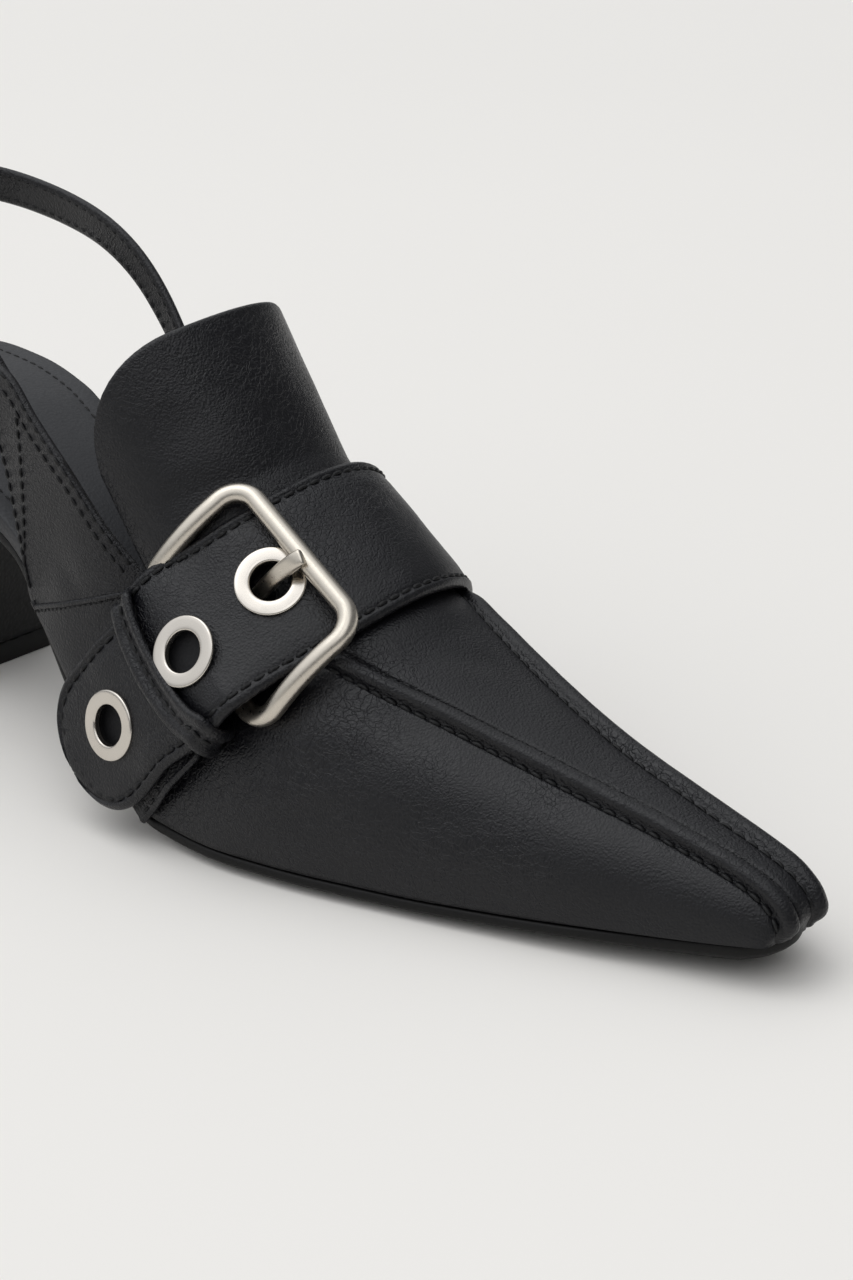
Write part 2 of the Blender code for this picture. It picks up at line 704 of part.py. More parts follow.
def strap_place(along, across):
    """Placing of a fitting on the strap's outer face; its own z axis points out."""
    stations = np.linspace(along - 1.0, along + 1.0, 5)
    path, sides, outs = strap_points(stations)
    middle = path[2] + across * sides[2] + STRAP_THICK * outs[2]
    onward = unit(np.cross(sides[2], outs[2]))
    turn = Matrix.Identity(4)
    for column, axis in enumerate((onward, sides[2], outs[2])):
        for i in range(3):
            turn[i][column] = axis[i]
    for i in range(3):
        turn[i][3] = middle[i]
    return turn


def make_strap(group, cutters, surfaces):
    """Wide instep strap with a rounded tail and three punched holes."""
    tip = TAIL_TIP + TAIL_ROUND * (1 - np.cos(np.linspace(0.16, 1.0, 9) * math.pi / 2))
    body = np.linspace(TAIL_TIP + TAIL_ROUND, strap_length() - 2.0, 46)[1:]
    stations = np.concatenate((tip, body))
    path, sides, outs = strap_points(stations)
    ends = np.clip((TAIL_TIP + TAIL_ROUND - stations) / TAIL_ROUND, 0.0, 1.0)
    widths = STRAP_WIDTH * (1 - ends ** 2.5) ** (1 / 2.5)
    sections = strip(path, sides, outs, widths, STRAP_THICK)
    strap = new_object("strap", *loft(sections), group, surfaces["upper"])
    for number, spot in enumerate(EYELETS_AT):
        place = strap_place(*spot)
        build = bmesh.new()
        bmesh.ops.create_cone(
            build, cap_ends=True, segments=20, radius1=EYELET_BARREL + GAP,
            radius2=EYELET_BARREL + GAP, depth=12.0,
        )
        mesh = bpy.data.meshes.new("hole_%d" % (number + 1))
        build.to_mesh(mesh)
        build.free()
        hole = bpy.data.objects.new(mesh.name, mesh)
        hole.matrix_world = place
        hole.display_type = "WIRE"
        hole.hide_render = True
        cutters.objects.link(hole)
        cut = strap.modifiers.new("punch_%d" % (number + 1), "BOOLEAN")
        cut.operation = "DIFFERENCE"
        cut.solver = "EXACT"
        cut.object = hole
        profile = (
            (EYELET_HOLE, -STRAP_THICK - 0.1), (EYELET_BARREL, -STRAP_THICK - 0.1),
            (EYELET_BARREL, GAP), (EYELET_RADIUS, GAP), (EYELET_RADIUS, GAP + 0.35),
            (EYELET_RADIUS - 0.7, GAP + 0.9), (EYELET_HOLE + 0.9, GAP + 0.9), (EYELET_HOLE, GAP + 0.2),
        )
        rings = []
        for step in range(24):
            angle = 2 * math.pi * step / 24
            rings.append([(r * math.cos(angle), r * math.sin(angle), z) for r, z in profile])
        name = "eyelet_%d" % (number + 1)
        eyelet = new_object(name, *loft(rings, closed=True), group, surfaces["eyelet"])
        eyelet.matrix_world = place


def tube(path, radius, closed, sides, up):
    """Sections of a round wire along a path."""
    path = np.asarray(path, dtype=float)
    if closed:
        ahead = unit(np.roll(path, -1, axis=0) - np.roll(path, 1, axis=0))
    else:
        ahead = unit(np.gradient(path, axis=0))
    radii = np.broadcast_to(np.asarray(radius, dtype=float), (len(path),))
    sections = []
    for point, direction, size in zip(path, ahead, radii):
        across = unit(np.cross(up, direction))
        over = np.cross(direction, across)
        turn = np.linspace(0, 2 * math.pi, sides, endpoint=False)
        ring = point + size * (np.cos(turn)[:, None] * across + np.sin(turn)[:, None] * over)
        sections.append(ring)
    return np.array(sections)


def bar_places():
    """Middles of the buckle's hinge bar and front bar with the frame's directions."""
    hinge, _, side_a, out_a = strap_frame(HINGE_AT)
    front, _, side_b, out_b = strap_frame(FRONT_BAR_AT)
    hinge = hinge + HINGE_HEIGHT * out_a
    front = front + FRONT_BAR_HEIGHT * out_b
    across = unit(front - hinge)
    side = unit(unit(0.3 * side_a + side_b) + FRAME_ROLL * out_a)
    side = unit(side - across * (side @ across))
    out = unit(np.cross(across, side))
    if out @ out_a < 0:
        out = -out
    return hinge, front, unit(across - FRAME_TILT * side), unit(side + FRAME_TILT * across), out


def make_buckle(group, surfaces):
    """Rounded rectangular frame of wire and the prong that hinges on it."""
    hinge, front, across, side, out = bar_places()
    centre = (hinge + front) / 2 + FRAME_SHIFT * side
    half_u = np.linalg.norm(front - hinge) / 2
    half_v = FRAME_HEIGHT / 2
    corner = FRAME_CORNER
    corners = []
    for sign_u, sign_v, start in ((1, 1, 0), (-1, 1, 90), (-1, -1, 180), (1, -1, 270)):
        middle = np.array((sign_u * (half_u - corner), sign_v * (half_v - corner)))
        for angle in np.radians(start + np.linspace(0, 90, 6)):
            corners.append(middle + corner * np.array((math.cos(angle), math.sin(angle))))
        if sign_u * sign_v > 0:
            corners += [np.array((part * sign_u * half_u, sign_v * half_v)) for part in (0.4, 0.0, -0.4)]
    path = []
    for u, v in corners:
        arch = FRAME_ARCH * (1 - (u / half_u) ** 2)
        path.append(centre + u * across + v * side + arch * out)
    sections = tube(path, WIRE, True, sides=10, up=out)
    new_object("buckle_frame", *loft(sections, closed=True), group, surfaces["frame"])
    eye = WIRE + 0.2 + PRONG_EYE
    path = []
    radii = []
    for angle in np.radians(np.linspace(-75, -345, 12)):
        path.append(hinge + eye * (math.cos(angle) * across + math.sin(angle) * out))
        radii.append(PRONG_EYE)
    rest = WIRE + 0.3 + PRONG
    for part, lift, radius in (
        (0.3, -0.5, 1.0), (0.5, -1.3, PRONG), (0.68, -2.05, PRONG), (0.79, -0.6, PRONG),
        (0.87, 1.5, PRONG), (0.94, 2.9, PRONG), (1.0, rest, PRONG), (1.08, rest - 0.3, 0.9),
    ):
        path.append(hinge + (front - hinge) * part + lift * out)
        radii.append(radius)
    sections = tube(path, radii, False, sides=8, up=side)
    new_object("prong", *loft(sections), group, surfaces["frame"])


def chape_height(along):
    """Height of the chape over the upper."""
    return 0.5 + 2.3 * fade(along, 4.0, 15.0)


def make_chape(group, cutters, surfaces):
    """Tab from the outer sole edge, rolled round the buckle's hinge bar."""
    hinge, _, across, side, out = bar_places()
    stations = np.linspace(1.8, 29.0, 14)
    points, sides, outs = smooth_frames(stations)
    narrow = fade(stations, 22.5, 28.0)
    shift = CHAPE_SHIFT * (1 - narrow)
    path = points + chape_height(stations)[:, None] * outs + shift[:, None] * sides
    mid = WIRE + 0.25
    roll = []
    for angle in np.radians(np.linspace(-110, 150, 15)):
        roll.append(math.cos(angle) * across + math.sin(angle) * out)
    widths = CHAPE_WIDTH + (ROLL_WIDTH - CHAPE_WIDTH) * narrow
    sections = list(strip(path, sides, outs, widths, CHAPE_THICK))
    for direction in roll:
        outside = hinge + (mid + ROLL_THICK) * direction
        sections.append(strip([outside], [side], [-direction], [ROLL_WIDTH], ROLL_THICK)[0])
    chape = new_object("chape", *loft(sections), group, surfaces["upper"])
    slot = bmesh.new()
    bmesh.ops.create_cube(slot, size=1.0)
    mesh = bpy.data.meshes.new("prong_slot")
    slot.to_mesh(mesh)
    slot.free()
    cutter = bpy.data.objects.new("prong_slot", mesh)
    frame = Matrix.Identity(4)
    for column, (axis, size) in enumerate(((across, 9.0), (side, PRONG_SLOT), (out, 9.0))):
        for i in range(3):
            frame[i][column] = axis[i] * size
    for i in range(3):
        frame[i][3] = (hinge + 0.6 * across)[i]
    cutter.matrix_world = frame
    cutter.display_type = "WIRE"
    cutter.hide_render = True
    cutters.objects.link(cutter)
    cut = chape.modifiers.new("slot", "BOOLEAN")
    cut.operation = "DIFFERENCE"
    cut.solver = "EXACT"
    cut.object = cutter


def keeper_line(part):
    """Stations of the keeper's corners at a part of its half length, with its two heights there."""
    across = KEEPER_SHIFT + part * KEEPER_HALF
    places = KEEPER_WIDTH * np.array([place for place, _ in KEEPER_EDGES])
    stations = KEEPER_AT + KEEPER_SLANT * across + KEEPER_BOW * part ** 2 + places
    low = chape_height(stations) - 0.35 + 0.4 * fade(-part, 0.5, 1.0)
    high = tail_height(stations) + STRAP_THICK + KEEPER_LIFT
    return across, smooth_frames(stations), low, high


def make_keeper(group, surfaces):
    """Bowed loop of leather round the chape and the tail of the strap."""
    grow = KEEPER_THICK * np.array([layer for _, layer in KEEPER_EDGES])
    sections = []
    for centre, start in ((1.0, -90), (-1.0, 90)):
        across, (points, sides, outs), low, high = keeper_line(centre)
        bend = 0.3 * float(np.mean(high - low))
        for angle in np.radians(start + np.linspace(0, 180, 8)):
            away = across - centre * bend + (bend + grow) * math.cos(angle)
            height = (low + high) / 2 + ((high - low) / 2 + grow) * math.sin(angle)
            sections.append(points + away[:, None] * sides + height[:, None] * outs)
        for part in (0.5 * centre, 0.0, -0.5 * centre):
            across, (points, sides, outs), low, high = keeper_line(part)
            height = high + grow if centre > 0 else low - grow
            sections.append(points + across * sides + height[:, None] * outs)
    new_object("keeper", *loft(sections, closed=True), group, surfaces["upper"])


def settle(group):
    """Hangs every piece on one empty that sets the origin under the middle of the shoe."""
    bpy.context.view_layer.update()
    graph = bpy.context.evaluated_depsgraph_get()
    corners = []
    for piece in group.objects:
        seen = piece.evaluated_get(graph)
        mesh = seen.to_mesh()
        corners += [piece.matrix_world @ vertex.co for vertex in mesh.vertices]
        seen.to_mesh_clear()
    corners = np.array([tuple(corner) for corner in corners])
    low = corners.min(axis=0)
    high = corners.max(axis=0)
    root = bpy.data.objects.new("mule", None)
    bpy.context.scene.collection.objects.link(root)
    root.scale = (MM, MM, MM)
    root.location = (-(low[0] + high[0]) / 2 * MM, -(low[1] + high[1]) / 2 * MM, -low[2] * MM)
    return root


def main():
    for old in list(bpy.data.objects):
        bpy.data.objects.remove(old, do_unlink=True)
    group = collection("mule_parts")
    cutters = collection("cutters", hidden=True)
    surfaces = {
        "upper": material("black_leather", (0.012, 0.012, 0.013), 0.45, 0.0),
        "insole": material("insole_leather", (0.04, 0.041, 0.043), 0.55, 0.0),
        "sole_edge": material("sole_leather", (0.01, 0.01, 0.01), 0.5, 0.0),
        "heel": material("heel_cover", (0.01, 0.01, 0.01), 0.4, 0.0),
        "lift": material("lift_rubber", (0.008, 0.008, 0.008), 0.7, 0.0),
        "frame": material("satin_nickel", (0.62, 0.59, 0.54), 0.32, 1.0),
        "eyelet": material("bright_nickel", (0.7, 0.68, 0.64), 0.18, 1.0),
    }
    make_sole(group, surfaces)
    make_heel(group, surfaces)
    make_upper(group, surfaces)
    make_sling(group, surfaces)
    make_strap(group, cutters, surfaces)
    make_buckle(group, surfaces)
    make_chape(group, cutters, surfaces)
    make_keeper(group, surfaces)
    root = settle(group)
    for piece in list(group.objects) + list(cutters.objects):
        piece.parent = root


main()
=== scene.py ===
"""Dressing of the black leather slingback mule for the right foot.

The finer pieces follow the drawing of the solids: millimetres, the back of the heel at x = 0, the toe
towards +x, the inner side of the foot towards +y and the floor at z = 0.
"""
import functools
import json
import math

import bmesh
import bpy
import numpy as np
from mathutils import Matrix, Vector, noise


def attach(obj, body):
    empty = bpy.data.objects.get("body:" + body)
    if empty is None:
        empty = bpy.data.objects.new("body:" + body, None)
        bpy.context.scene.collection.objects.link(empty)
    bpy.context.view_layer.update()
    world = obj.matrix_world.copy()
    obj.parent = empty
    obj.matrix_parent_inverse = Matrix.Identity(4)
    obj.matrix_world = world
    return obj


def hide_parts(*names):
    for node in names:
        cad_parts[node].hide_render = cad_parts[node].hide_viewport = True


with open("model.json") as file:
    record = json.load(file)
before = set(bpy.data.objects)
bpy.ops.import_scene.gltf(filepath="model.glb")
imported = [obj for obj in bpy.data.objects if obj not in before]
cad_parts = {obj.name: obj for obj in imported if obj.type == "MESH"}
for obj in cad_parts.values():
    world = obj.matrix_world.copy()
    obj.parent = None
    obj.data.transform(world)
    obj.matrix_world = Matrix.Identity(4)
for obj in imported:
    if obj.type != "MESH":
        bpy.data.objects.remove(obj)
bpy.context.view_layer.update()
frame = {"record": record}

MM = 0.001
SIGN = {"outer": -1.0, "inner": 1.0}

# Clear gap between neighbouring pieces, and between the upper and the sole that it stands on
GAP = 0.3
FOOT_GAP = 0.45

# Leather of the upper, the roundness of its free edges, and the slow waves it shows: length and height
LEATHER = 1.8
RIM_ROUND = 0.55
UPPER_WAVES = ((18.0, 0.24), (7.0, 0.06))
LINING_FOLLOWS = 0.6
LIFT_OFF = 4.0
FAR_FROM_EDGE = 99.0
NEXT_ROW = 0.03
COLLAR_SEAM = 0.95
REAR_SEAM = 1.6

# Rolled apron seams: half width and height, grooves in half widths, and the rows where they rise and end
SEAM_WIDTH = 2.3
SEAM_HEIGHT = 2.0
SEAM_BODY = 0.92
GROOVE_AT = 1.08
GROOVE_WIDTH = 0.24
OUTER_GROOVES = (0.34, 0.46)
INNER_GROOVES = (0.38, 0.24)
SEAM_RISES = (0.0, 1.5)
SEAM_ENDS = (9.6, 10.6)
SEAM_AT_TOE = 0.3
SEAM_FAR = 9.0
MOST_OF_WALL = 0.35
MOST_OF_APRON = 0.22

# The foot of the upper draws back under the toe over its first rows
TOE_TUCK = 0.6
TOE_TUCK_ROWS = 1.3

# Sole and footbed: sizes, and the stations between which each size changes
SEAT_RADIUS = 27.0
TOE_END = 262.0
TOE_ROUND = 6.0
TOE_DRAW = 1.8
SOLE_THICK = 4.2
SOLE_EDGE = 2.2
SOLE_TUCK = 5.0
WAIST_TUCK = 1.6
WAIST = (78, 112)
SHANK_THIN = 0.6
SHANK = (60, 140)
TOE_FULL = 1.0
TOE_FILLS = (222, 256)
EDGE_SLIM = 0.7
EDGE_SLIMS = (222, 258)
INSOLE_END = 246.0
INSOLE_THICK = 4.2
INSOLE_FRONT = 2.0
INSOLE_THINS = (80, 112)
INSOLE_DRAW = 1.5
INSOLE_DRAWS = (82, 98)
INSOLE_SEAM = 5.0
INSOLE_SEAM_LEVEL = 0.92
INSOLE_SEAM_END = 150

# Block heel: the inset of its seat, and the back, breast and half width of its foot
HEEL_BREAST = 47.0
HEEL_INSET = 1.3
HEEL_FOOT = (3.5, 45.0, 21.5)
HEEL_CORNER = 7.0
HEEL_MOUNT = np.array((24.0, 0.0, 0.0))
LIFT_THICK = 5.0

# Instep strap: the row of the vamp that it follows, its round tail and the waves of its face
STRAP_THICK = 2.2
STRAP_ROW = 10.9
STRAP_HALF_ROWS = 0.35
STRAP_EASE = (-6.0, -4.0, -2.0, 0.0, 2.0, 4.0, 6.0)
STRAP_END = 2.0
STRAP_SEAM_DEPTH = 0.16
STRAP_WAVES = ((11.0, 0.22), (4.5, 0.07))
TAIL_TIP = -5.0
TAIL_ROUND = 14.5
TAIL_SQUARE = 2.5

# Turned edges of leather bands: the stitch line's distance, its groove and the roundness of the edge
BAND_LIP = 2.2
BAND_GROOVE = 0.34
BAND_GROOVE_WIDTH = 0.62
BAND_ROUND = 0.55
BAND_SWELL = 0.16

EYELET_RADIUS = 7.1
EYELET_HOLE = 4.1
EYELET_BARREL = 4.7
EYELETS_AT = ((52.3, 0.0), (33.8, 3.0), (10.4, 0.0))
PUNCH_THROUGH = 6.0
PUNCH_BLIND = 0.92

# Buckle frame and the places of its hinge bar and front bar round the instep
WIRE = 1.85
PLATING = 0.12
FRAME_HEIGHT = 39.4
FRAME_CORNER = 5.2
FRAME_ARCH = 2.7
FRAME_SHIFT = 0.9
FRAME_SETTLE = (0.36, -0.42)
FRAME_TILT = 0.12
FRAME_ROLL = 0.018
HINGE_LEAN = 0.3
HINGE_AT = 34.0
HINGE_HEIGHT = 4.15
FRONT_BAR_AT = 58.0
FRONT_BAR_HEIGHT = 8.95

# Prong: its eye round the hinge bar, then a flat squared bar with a softened tip
PRONG = 1.15
PRONG_EYE = 0.7
PRONG_EYE_GAP = 0.2
PRONG_EYE_TURN = (-75, -345)
PRONG_SLOT = 4.4
PRONG_THIN = 0.72
PRONG_FLAT = 2.05
PRONG_SQUARE = 3.4
PRONG_TIP = 0.5
PRONG_BEVEL = 0.45
PRONG_BEVEL_DEPTH = 0.4

# Chape: the tab, its narrow roll round the hinge bar and its stitches
CHAPE_WIDTH = 31.6
CHAPE_SHIFT = 2.1
CHAPE_THICK = 1.3
CHAPE_FOOT = 0.5
CHAPE_RISE = 2.3
CHAPE_RISES = (4.0, 15.0)
CHAPE_SPAN = (1.8, 29.0)
CHAPE_NARROWS = (22.5, 28.0)
CHAPE_SEWN = (3.0, 17.5)
CHAPE_LIP = 1.5
CHAPE_GROOVE = 0.16
ROLL_WIDTH = 20.0
ROLL_THICK = 0.6
ROLL_GAP = 0.25
ROLL_TURN = (-110, 150)
SLOT_REACH = 4.5
SLOT_SHIFT = 0.6

KEEPER_AT = 25.4
KEEPER_WIDTH = 6.0
KEEPER_THICK = 1.0
KEEPER_SLANT = 0.04
KEEPER_BOW = 2.6
KEEPER_LIFT = 1.0
KEEPER_SINK = 0.35
KEEPER_RISE = 0.4
KEEPER_SHIFT = 1.4
KEEPER_HALF = 17.5
KEEPER_EASE = 4
KEEPER_ROUND = 0.3
KEEPER_RUN = 0.78
KEEPER_SEAM = 1.12

SLING_WIDTH = 8.2
SLING_THICK = 2.0
SLING_EASE = 24
SLING_LEAN = 0.12
SLING_CENTRE = np.array((45.0, 0.0, 90.0))
SLING_LIP = 1.5
SLING_GROOVE = 0.14
SLING_BARE = 4

TONGUE_AXIS = np.array((-0.56, 0.0, 0.83))
TONGUE_TOP = np.array((128.2, 0.0, 102.2))
TONGUE_CORNER = 22.0
TONGUE_FLAT = 0.35
TONGUE_STOP = 0.995
TONGUE_FLARE = 0.01

# Edge where the vamp laps over each quarter: a station, its height there and its slope
LAP_AT = 98.8
LAP_HEIGHT = 38.2
LAP_SLOPE = 0.365
LAP_ROWS = {"outer": 2.05, "inner": 2.0}
LAP_EDGE = (0.6, 0.5)
LAP_SEAM = 1.25

# Stitches of each row: spacing, length, thickness, and how deep the thread lies in the leather
STITCH_PITCH = 3.1
STITCH_LONG = 2.75
THREAD = 0.43
THREAD_SINK = 0.12
STITCH_RINGS = 7
STITCH_SIDES = 8
SEAM_THREAD = {"sink": 0.3}
COLLAR_THREAD = {"pitch": 2.6, "long": 2.25, "thick": 0.36, "sink": 0.06}
CHAPE_THREAD = {"pitch": 2.6, "long": 2.05, "thick": 0.32}
KEEPER_THREAD = {"pitch": 2.6, "long": 2.3, "thick": 0.36, "sink": 0.05}
SLING_THREAD = {"pitch": 2.6, "long": 2.0, "thick": 0.28}
FOOTBED_THREAD = {"pitch": 2.8, "long": 2.2, "thick": 0.28}
LAP_THREAD = {"pitch": 1.5, "long": 1.1, "thick": 0.24}

# Section of the sole's edge: outwards in shares of its tuck, down in shares of its thickness
SOLE_PROFILE = (
    (-0.16, 0.0), (-0.06, 0.03), (-0.01, 0.12), (0.0, 0.25), (0.01, 0.36), (-0.04, 0.46),
    (-0.2, 0.6), (-0.48, 0.78), (-0.78, 0.92), (-1.0, 1.0), (-1.4, 1.0),
)

# Section of the footbed's rim: outwards in millimetres, up in shares of its thickness
FOOTBED_PROFILE = (
    (-16.0, 1.06), (-11.0, 1.05), (-7.5, 1.0), (-5.6, 0.95), (-5.0, 0.9), (-4.4, 0.95),
    (-3.0, 0.99), (-1.4, 0.975), (-0.55, 0.93), (-0.12, 0.84), (0.0, 0.72), (0.0, 0.36),
    (0.0, 0.0),
)

# Share of the heel's seat in its outline at each level, and the lift's inset at each height
HEEL_LEVELS = (0.0, 0.35, 0.6, 0.8, 0.93, 1.0)
HEEL_SHARES = (0.0, 0.2, 0.45, 0.7, 0.9, 1.0)
LIFT_PROFILE = ((0.3, 5.0), (0.0, 4.75), (0.0, 2.6), (0.0, 0.7), (0.12, 0.3), (0.5, 0.0))

# Half section of the folded keeper: place across its width and layer above its inner face
KEEPER_FOLD = (
    (0.0, 1.12), (0.08, 1.16), (0.15, 1.36), (0.22, 1.66), (0.3, 1.86), (0.38, 1.86), (0.45, 1.66),
    (0.5, 1.25), (0.52, 0.75), (0.5, 0.3), (0.44, 0.0), (0.2, 0.0),
)

# Line of the prong from the hinge bar to the front bar: part of the way, lift, shift to the side, radius
PRONG_LINE = (
    (0.3, -0.8, -0.6, 1.0), (0.45, -2.3, -0.9, PRONG), (0.56, -2.75, -1.0, PRONG),
    (0.64, -1.9, -0.8, PRONG), (0.72, -0.9, -0.4, PRONG), (0.8, 0.1, 0.05, PRONG),
    (0.87, 0.95, 0.5, PRONG), (0.93, 1.65, 0.95, PRONG), (0.98, 2.1, 1.3, PRONG),
    (1.015, 2.25, 1.55, PRONG), (1.045, 2.25, 1.75, PRONG),
)

# Footbed edge on both sides and the height of the sole's upper face, along the shoe
BED_COLUMNS = ("x", "outer", "inner", "top")
BED_ROWS = (
    (0.0, 27.0, 27.0, 61.5),
    (20.0, 27.0, 27.0, 61.0),
    (35.0, 27.0, 26.8, 60.0),
    (50.0, 25.6, 25.2, 57.3),
    (62.0, 24.2, 22.4, 53.2),
    (78.0, 24.0, 19.6, 45.6),
    (95.0, 28.4, 19.4, 33.8),
    (110.0, 32.6, 21.6, 21.8),
    (124.0, 35.6, 25.6, 11.2),
    (137.0, 37.2, 29.6, 5.2),
    (150.0, 37.2, 32.6, 4.1),
    (165.0, 35.2, 34.6, 4.0),
    (190.0, 29.0, 32.0, 4.1),
    (210.0, 23.2, 26.0, 4.8),
    (235.0, 15.4, 16.8, 6.4),
    (252.0, 10.0, 10.2, 7.8),
    (262.0, 6.4, 6.6, 8.8),
)

# Vamp sections from the toe back to the throat: where each stands on the footbed edge, the place of
# its two apron seams, the rise of the apron between them and the fullness of its side walls
VAMP_COLUMNS = ("foot", "seam_x", "seam_z", "outer", "inner", "crown", "full_out", "full_in")
VAMP_ROWS = (
    (261.5, 262.2, 9.3, 3.8, 4.4, 0.8, 0.30, 0.30),
    (260.0, 262.8, 12.0, 4.0, 4.6, 0.9, 0.45, 0.45),
    (257.0, 261.7, 14.9, 4.3, 4.8, 1.0, 0.55, 0.55),
    (251.0, 258.2, 17.9, 4.7, 5.1, 1.0, 0.60, 0.55),
    (242.0, 250.7, 20.7, 5.3, 5.5, 1.0, 0.62, 0.50),
    (228.0, 239.0, 23.8, 6.5, 6.0, 1.0, 0.64, 0.44),
    (211.0, 224.5, 27.2, 8.6, 7.2, 1.2, 0.66, 0.42),
    (192.0, 208.0, 31.5, 11.8, 9.4, 1.6, 0.66, 0.44),
    (172.0, 191.5, 36.4, 15.8, 12.6, 2.4, 0.66, 0.50),
    (152.0, 178.0, 40.4, 19.8, 15.8, 4.2, 0.62, 0.58),
    (133.4, 166.4, 43.6, 22.2, 18.6, 7.0, 0.46, 0.62),
    (118.8, 143.6, 45.0, 22.8, 24.0, 17.2, 0.36, 0.62),
    (105.4, 123.4, 49.6, 26.6, 26.6, 27.6, 0.38, 0.60),
)

# Quarters behind the throat, lower edge and collar; the sides keep their own distance from the middle
QUARTER_COLUMNS = (
    "low_x", "low_z", "low_out", "low_in", "high_x", "high_z", "high_out", "high_in", "drop_in",
)
QUARTER_ROWS = (
    (105.4, 0.0, 0.0, 0.0, 123.4, 49.6, 26.6, 26.6, 0.0),
    (98.5, 0.0, 0.0, 0.0, 113.0, 60.0, 29.6, 27.6, 2.0),
    (92.5, 0.0, 0.0, 0.0, 104.5, 69.0, 30.2, 28.0, 4.0),
    (88.6, 50.0, 29.6, 25.5, 95.0, 77.2, 29.6, 28.2, 4.6),
    (85.2, 63.0, 29.0, 27.2, 86.8, 84.4, 28.8, 28.2, 7.4),
    (76.4, 79.4, 28.6, 28.0, 79.2, 87.2, 28.6, 28.0, 5.0),
    (65.4, 87.6, 28.8, 28.4, 69.0, 93.6, 28.8, 28.4, 0.0),
)

# Rows of the quarters that stand on the sole, where their lower edge leaves it, how far their wall
# flattens to the rear, and the tapered tip of the inner one
STANDING = 2
LEAVES_SOLE = 2.3
QUARTER_FLATTENS = 0.6
INNER_END = 4.4
INNER_TIP = 1.2
INNER_TAPER = 0.35

# Middle line of the sling on each side, from the quarter's end round to the back of the heel
SLING_COLUMNS = ("x", "z", "outer", "inner")
SLING_ROWS = (
    (84.0, 73.6, 23.2, 23.2),
    (76.0, 82.4, 23.2, 25.2),
    (66.0, 91.4, 24.0, 26.4),
    (54.0, 97.2, 27.2, 27.0),
    (40.0, 99.8, 28.2, 27.8),
    (24.0, 102.0, 26.0, 26.0),
    (10.0, 103.2, 17.8, 17.8),
    (3.5, 103.6, 7.0, 7.0),
    (2.5, 103.7, 0.0, 0.0),
)

# Strap height over the upper, from its tail tip to the far end, measured round the instep
TAIL_COLUMNS = ("along", "height")
TAIL_ROWS = (
    (-6.5, 2.8),
    (9.5, 3.65),
    (16.0, 4.6),
    (24.5, 5.25),
    (29.0, 7.0),
    (34.0, 8.05),
    (40.0, 6.9),
    (46.0, 5.5),
    (52.5, 4.0),
    (58.0, 3.2),
    (68.0, 2.8),
    (200.0, 2.8),
)

# Reach of the strap's two edges from its middle line, on the tongue's side and towards the toe
SPREAD_COLUMNS = ("along", "tongue", "toe")
SPREAD_ROWS = (
    (-6.5, 15.6, 15.6),
    (16.0, 15.6, 15.6),
    (25.0, 15.7, 17.4),
    (31.0, 17.6, 19.2),
    (36.0, 17.6, 19.2),
    (43.0, 16.7, 18.4),
    (50.0, 16.4, 18.0),
    (60.0, 16.3, 17.8),
    (75.0, 16.2, 17.2),
    (100.0, 16.0, 16.4),
    (200.0, 15.6, 15.6),
)

# Creases listed one by one: both ends of a trough on the leather, its half width and its depth
CREASE_COLUMNS = ("ax", "ay", "az", "bx", "by", "bz", "width", "depth")
CREASE_ROWS = (
    (172.0, -25.0, 37.0, 200.0, -18.0, 31.5, 4.2, 0.75),
    (196.0, -18.6, 32.0, 232.0, -11.4, 23.2, 3.4, 0.45),
    (160.0, -36.5, 22.0, 186.0, -26.0, 29.5, 3.4, 0.40),
    (166.0, -36.0, 14.0, 184.0, -31.0, 21.0, 3.0, 0.30),
    (186.0, -30.0, 17.0, 206.0, -22.0, 22.5, 2.6, 0.26),
    (176.0, -13.0, 44.5, 190.0, 3.0, 41.5, 3.4, 0.40),
    (180.0, 7.0, 44.0, 200.0, 3.0, 37.5, 3.0, 0.35),
    (119.0, -25.0, 73.0, 130.0, -14.0, 84.0, 6.5, 0.55),
    (124.0, -25.5, 64.0, 139.0, -10.0, 70.0, 3.8, 0.55),
    (130.0, -20.0, 68.0, 142.0, 2.0, 69.0, 2.6, 0.45),
    (133.0, -4.0, 80.0, 139.0, 9.0, 71.0, 5.5, 0.40),
    (123.0, 10.0, 92.0, 131.0, 14.0, 78.0, 6.0, 0.35),
    (176.0, 22.0, 36.0, 200.0, 15.0, 29.0, 4.2, 0.60),
    (160.0, 34.0, 20.0, 188.0, 27.0, 26.0, 3.2, 0.40),
    (112.0, 29.0, 40.0, 128.0, 30.0, 30.0, 3.6, 0.45),
    (100.0, -31.0, 50.0, 112.0, -31.0, 40.0, 3.0, 0.30),
)


def table(columns, rows):
    """Named columns of a table of rows."""
    return {name: np.array(column, dtype=float) for name, column in zip(columns, zip(*rows))}


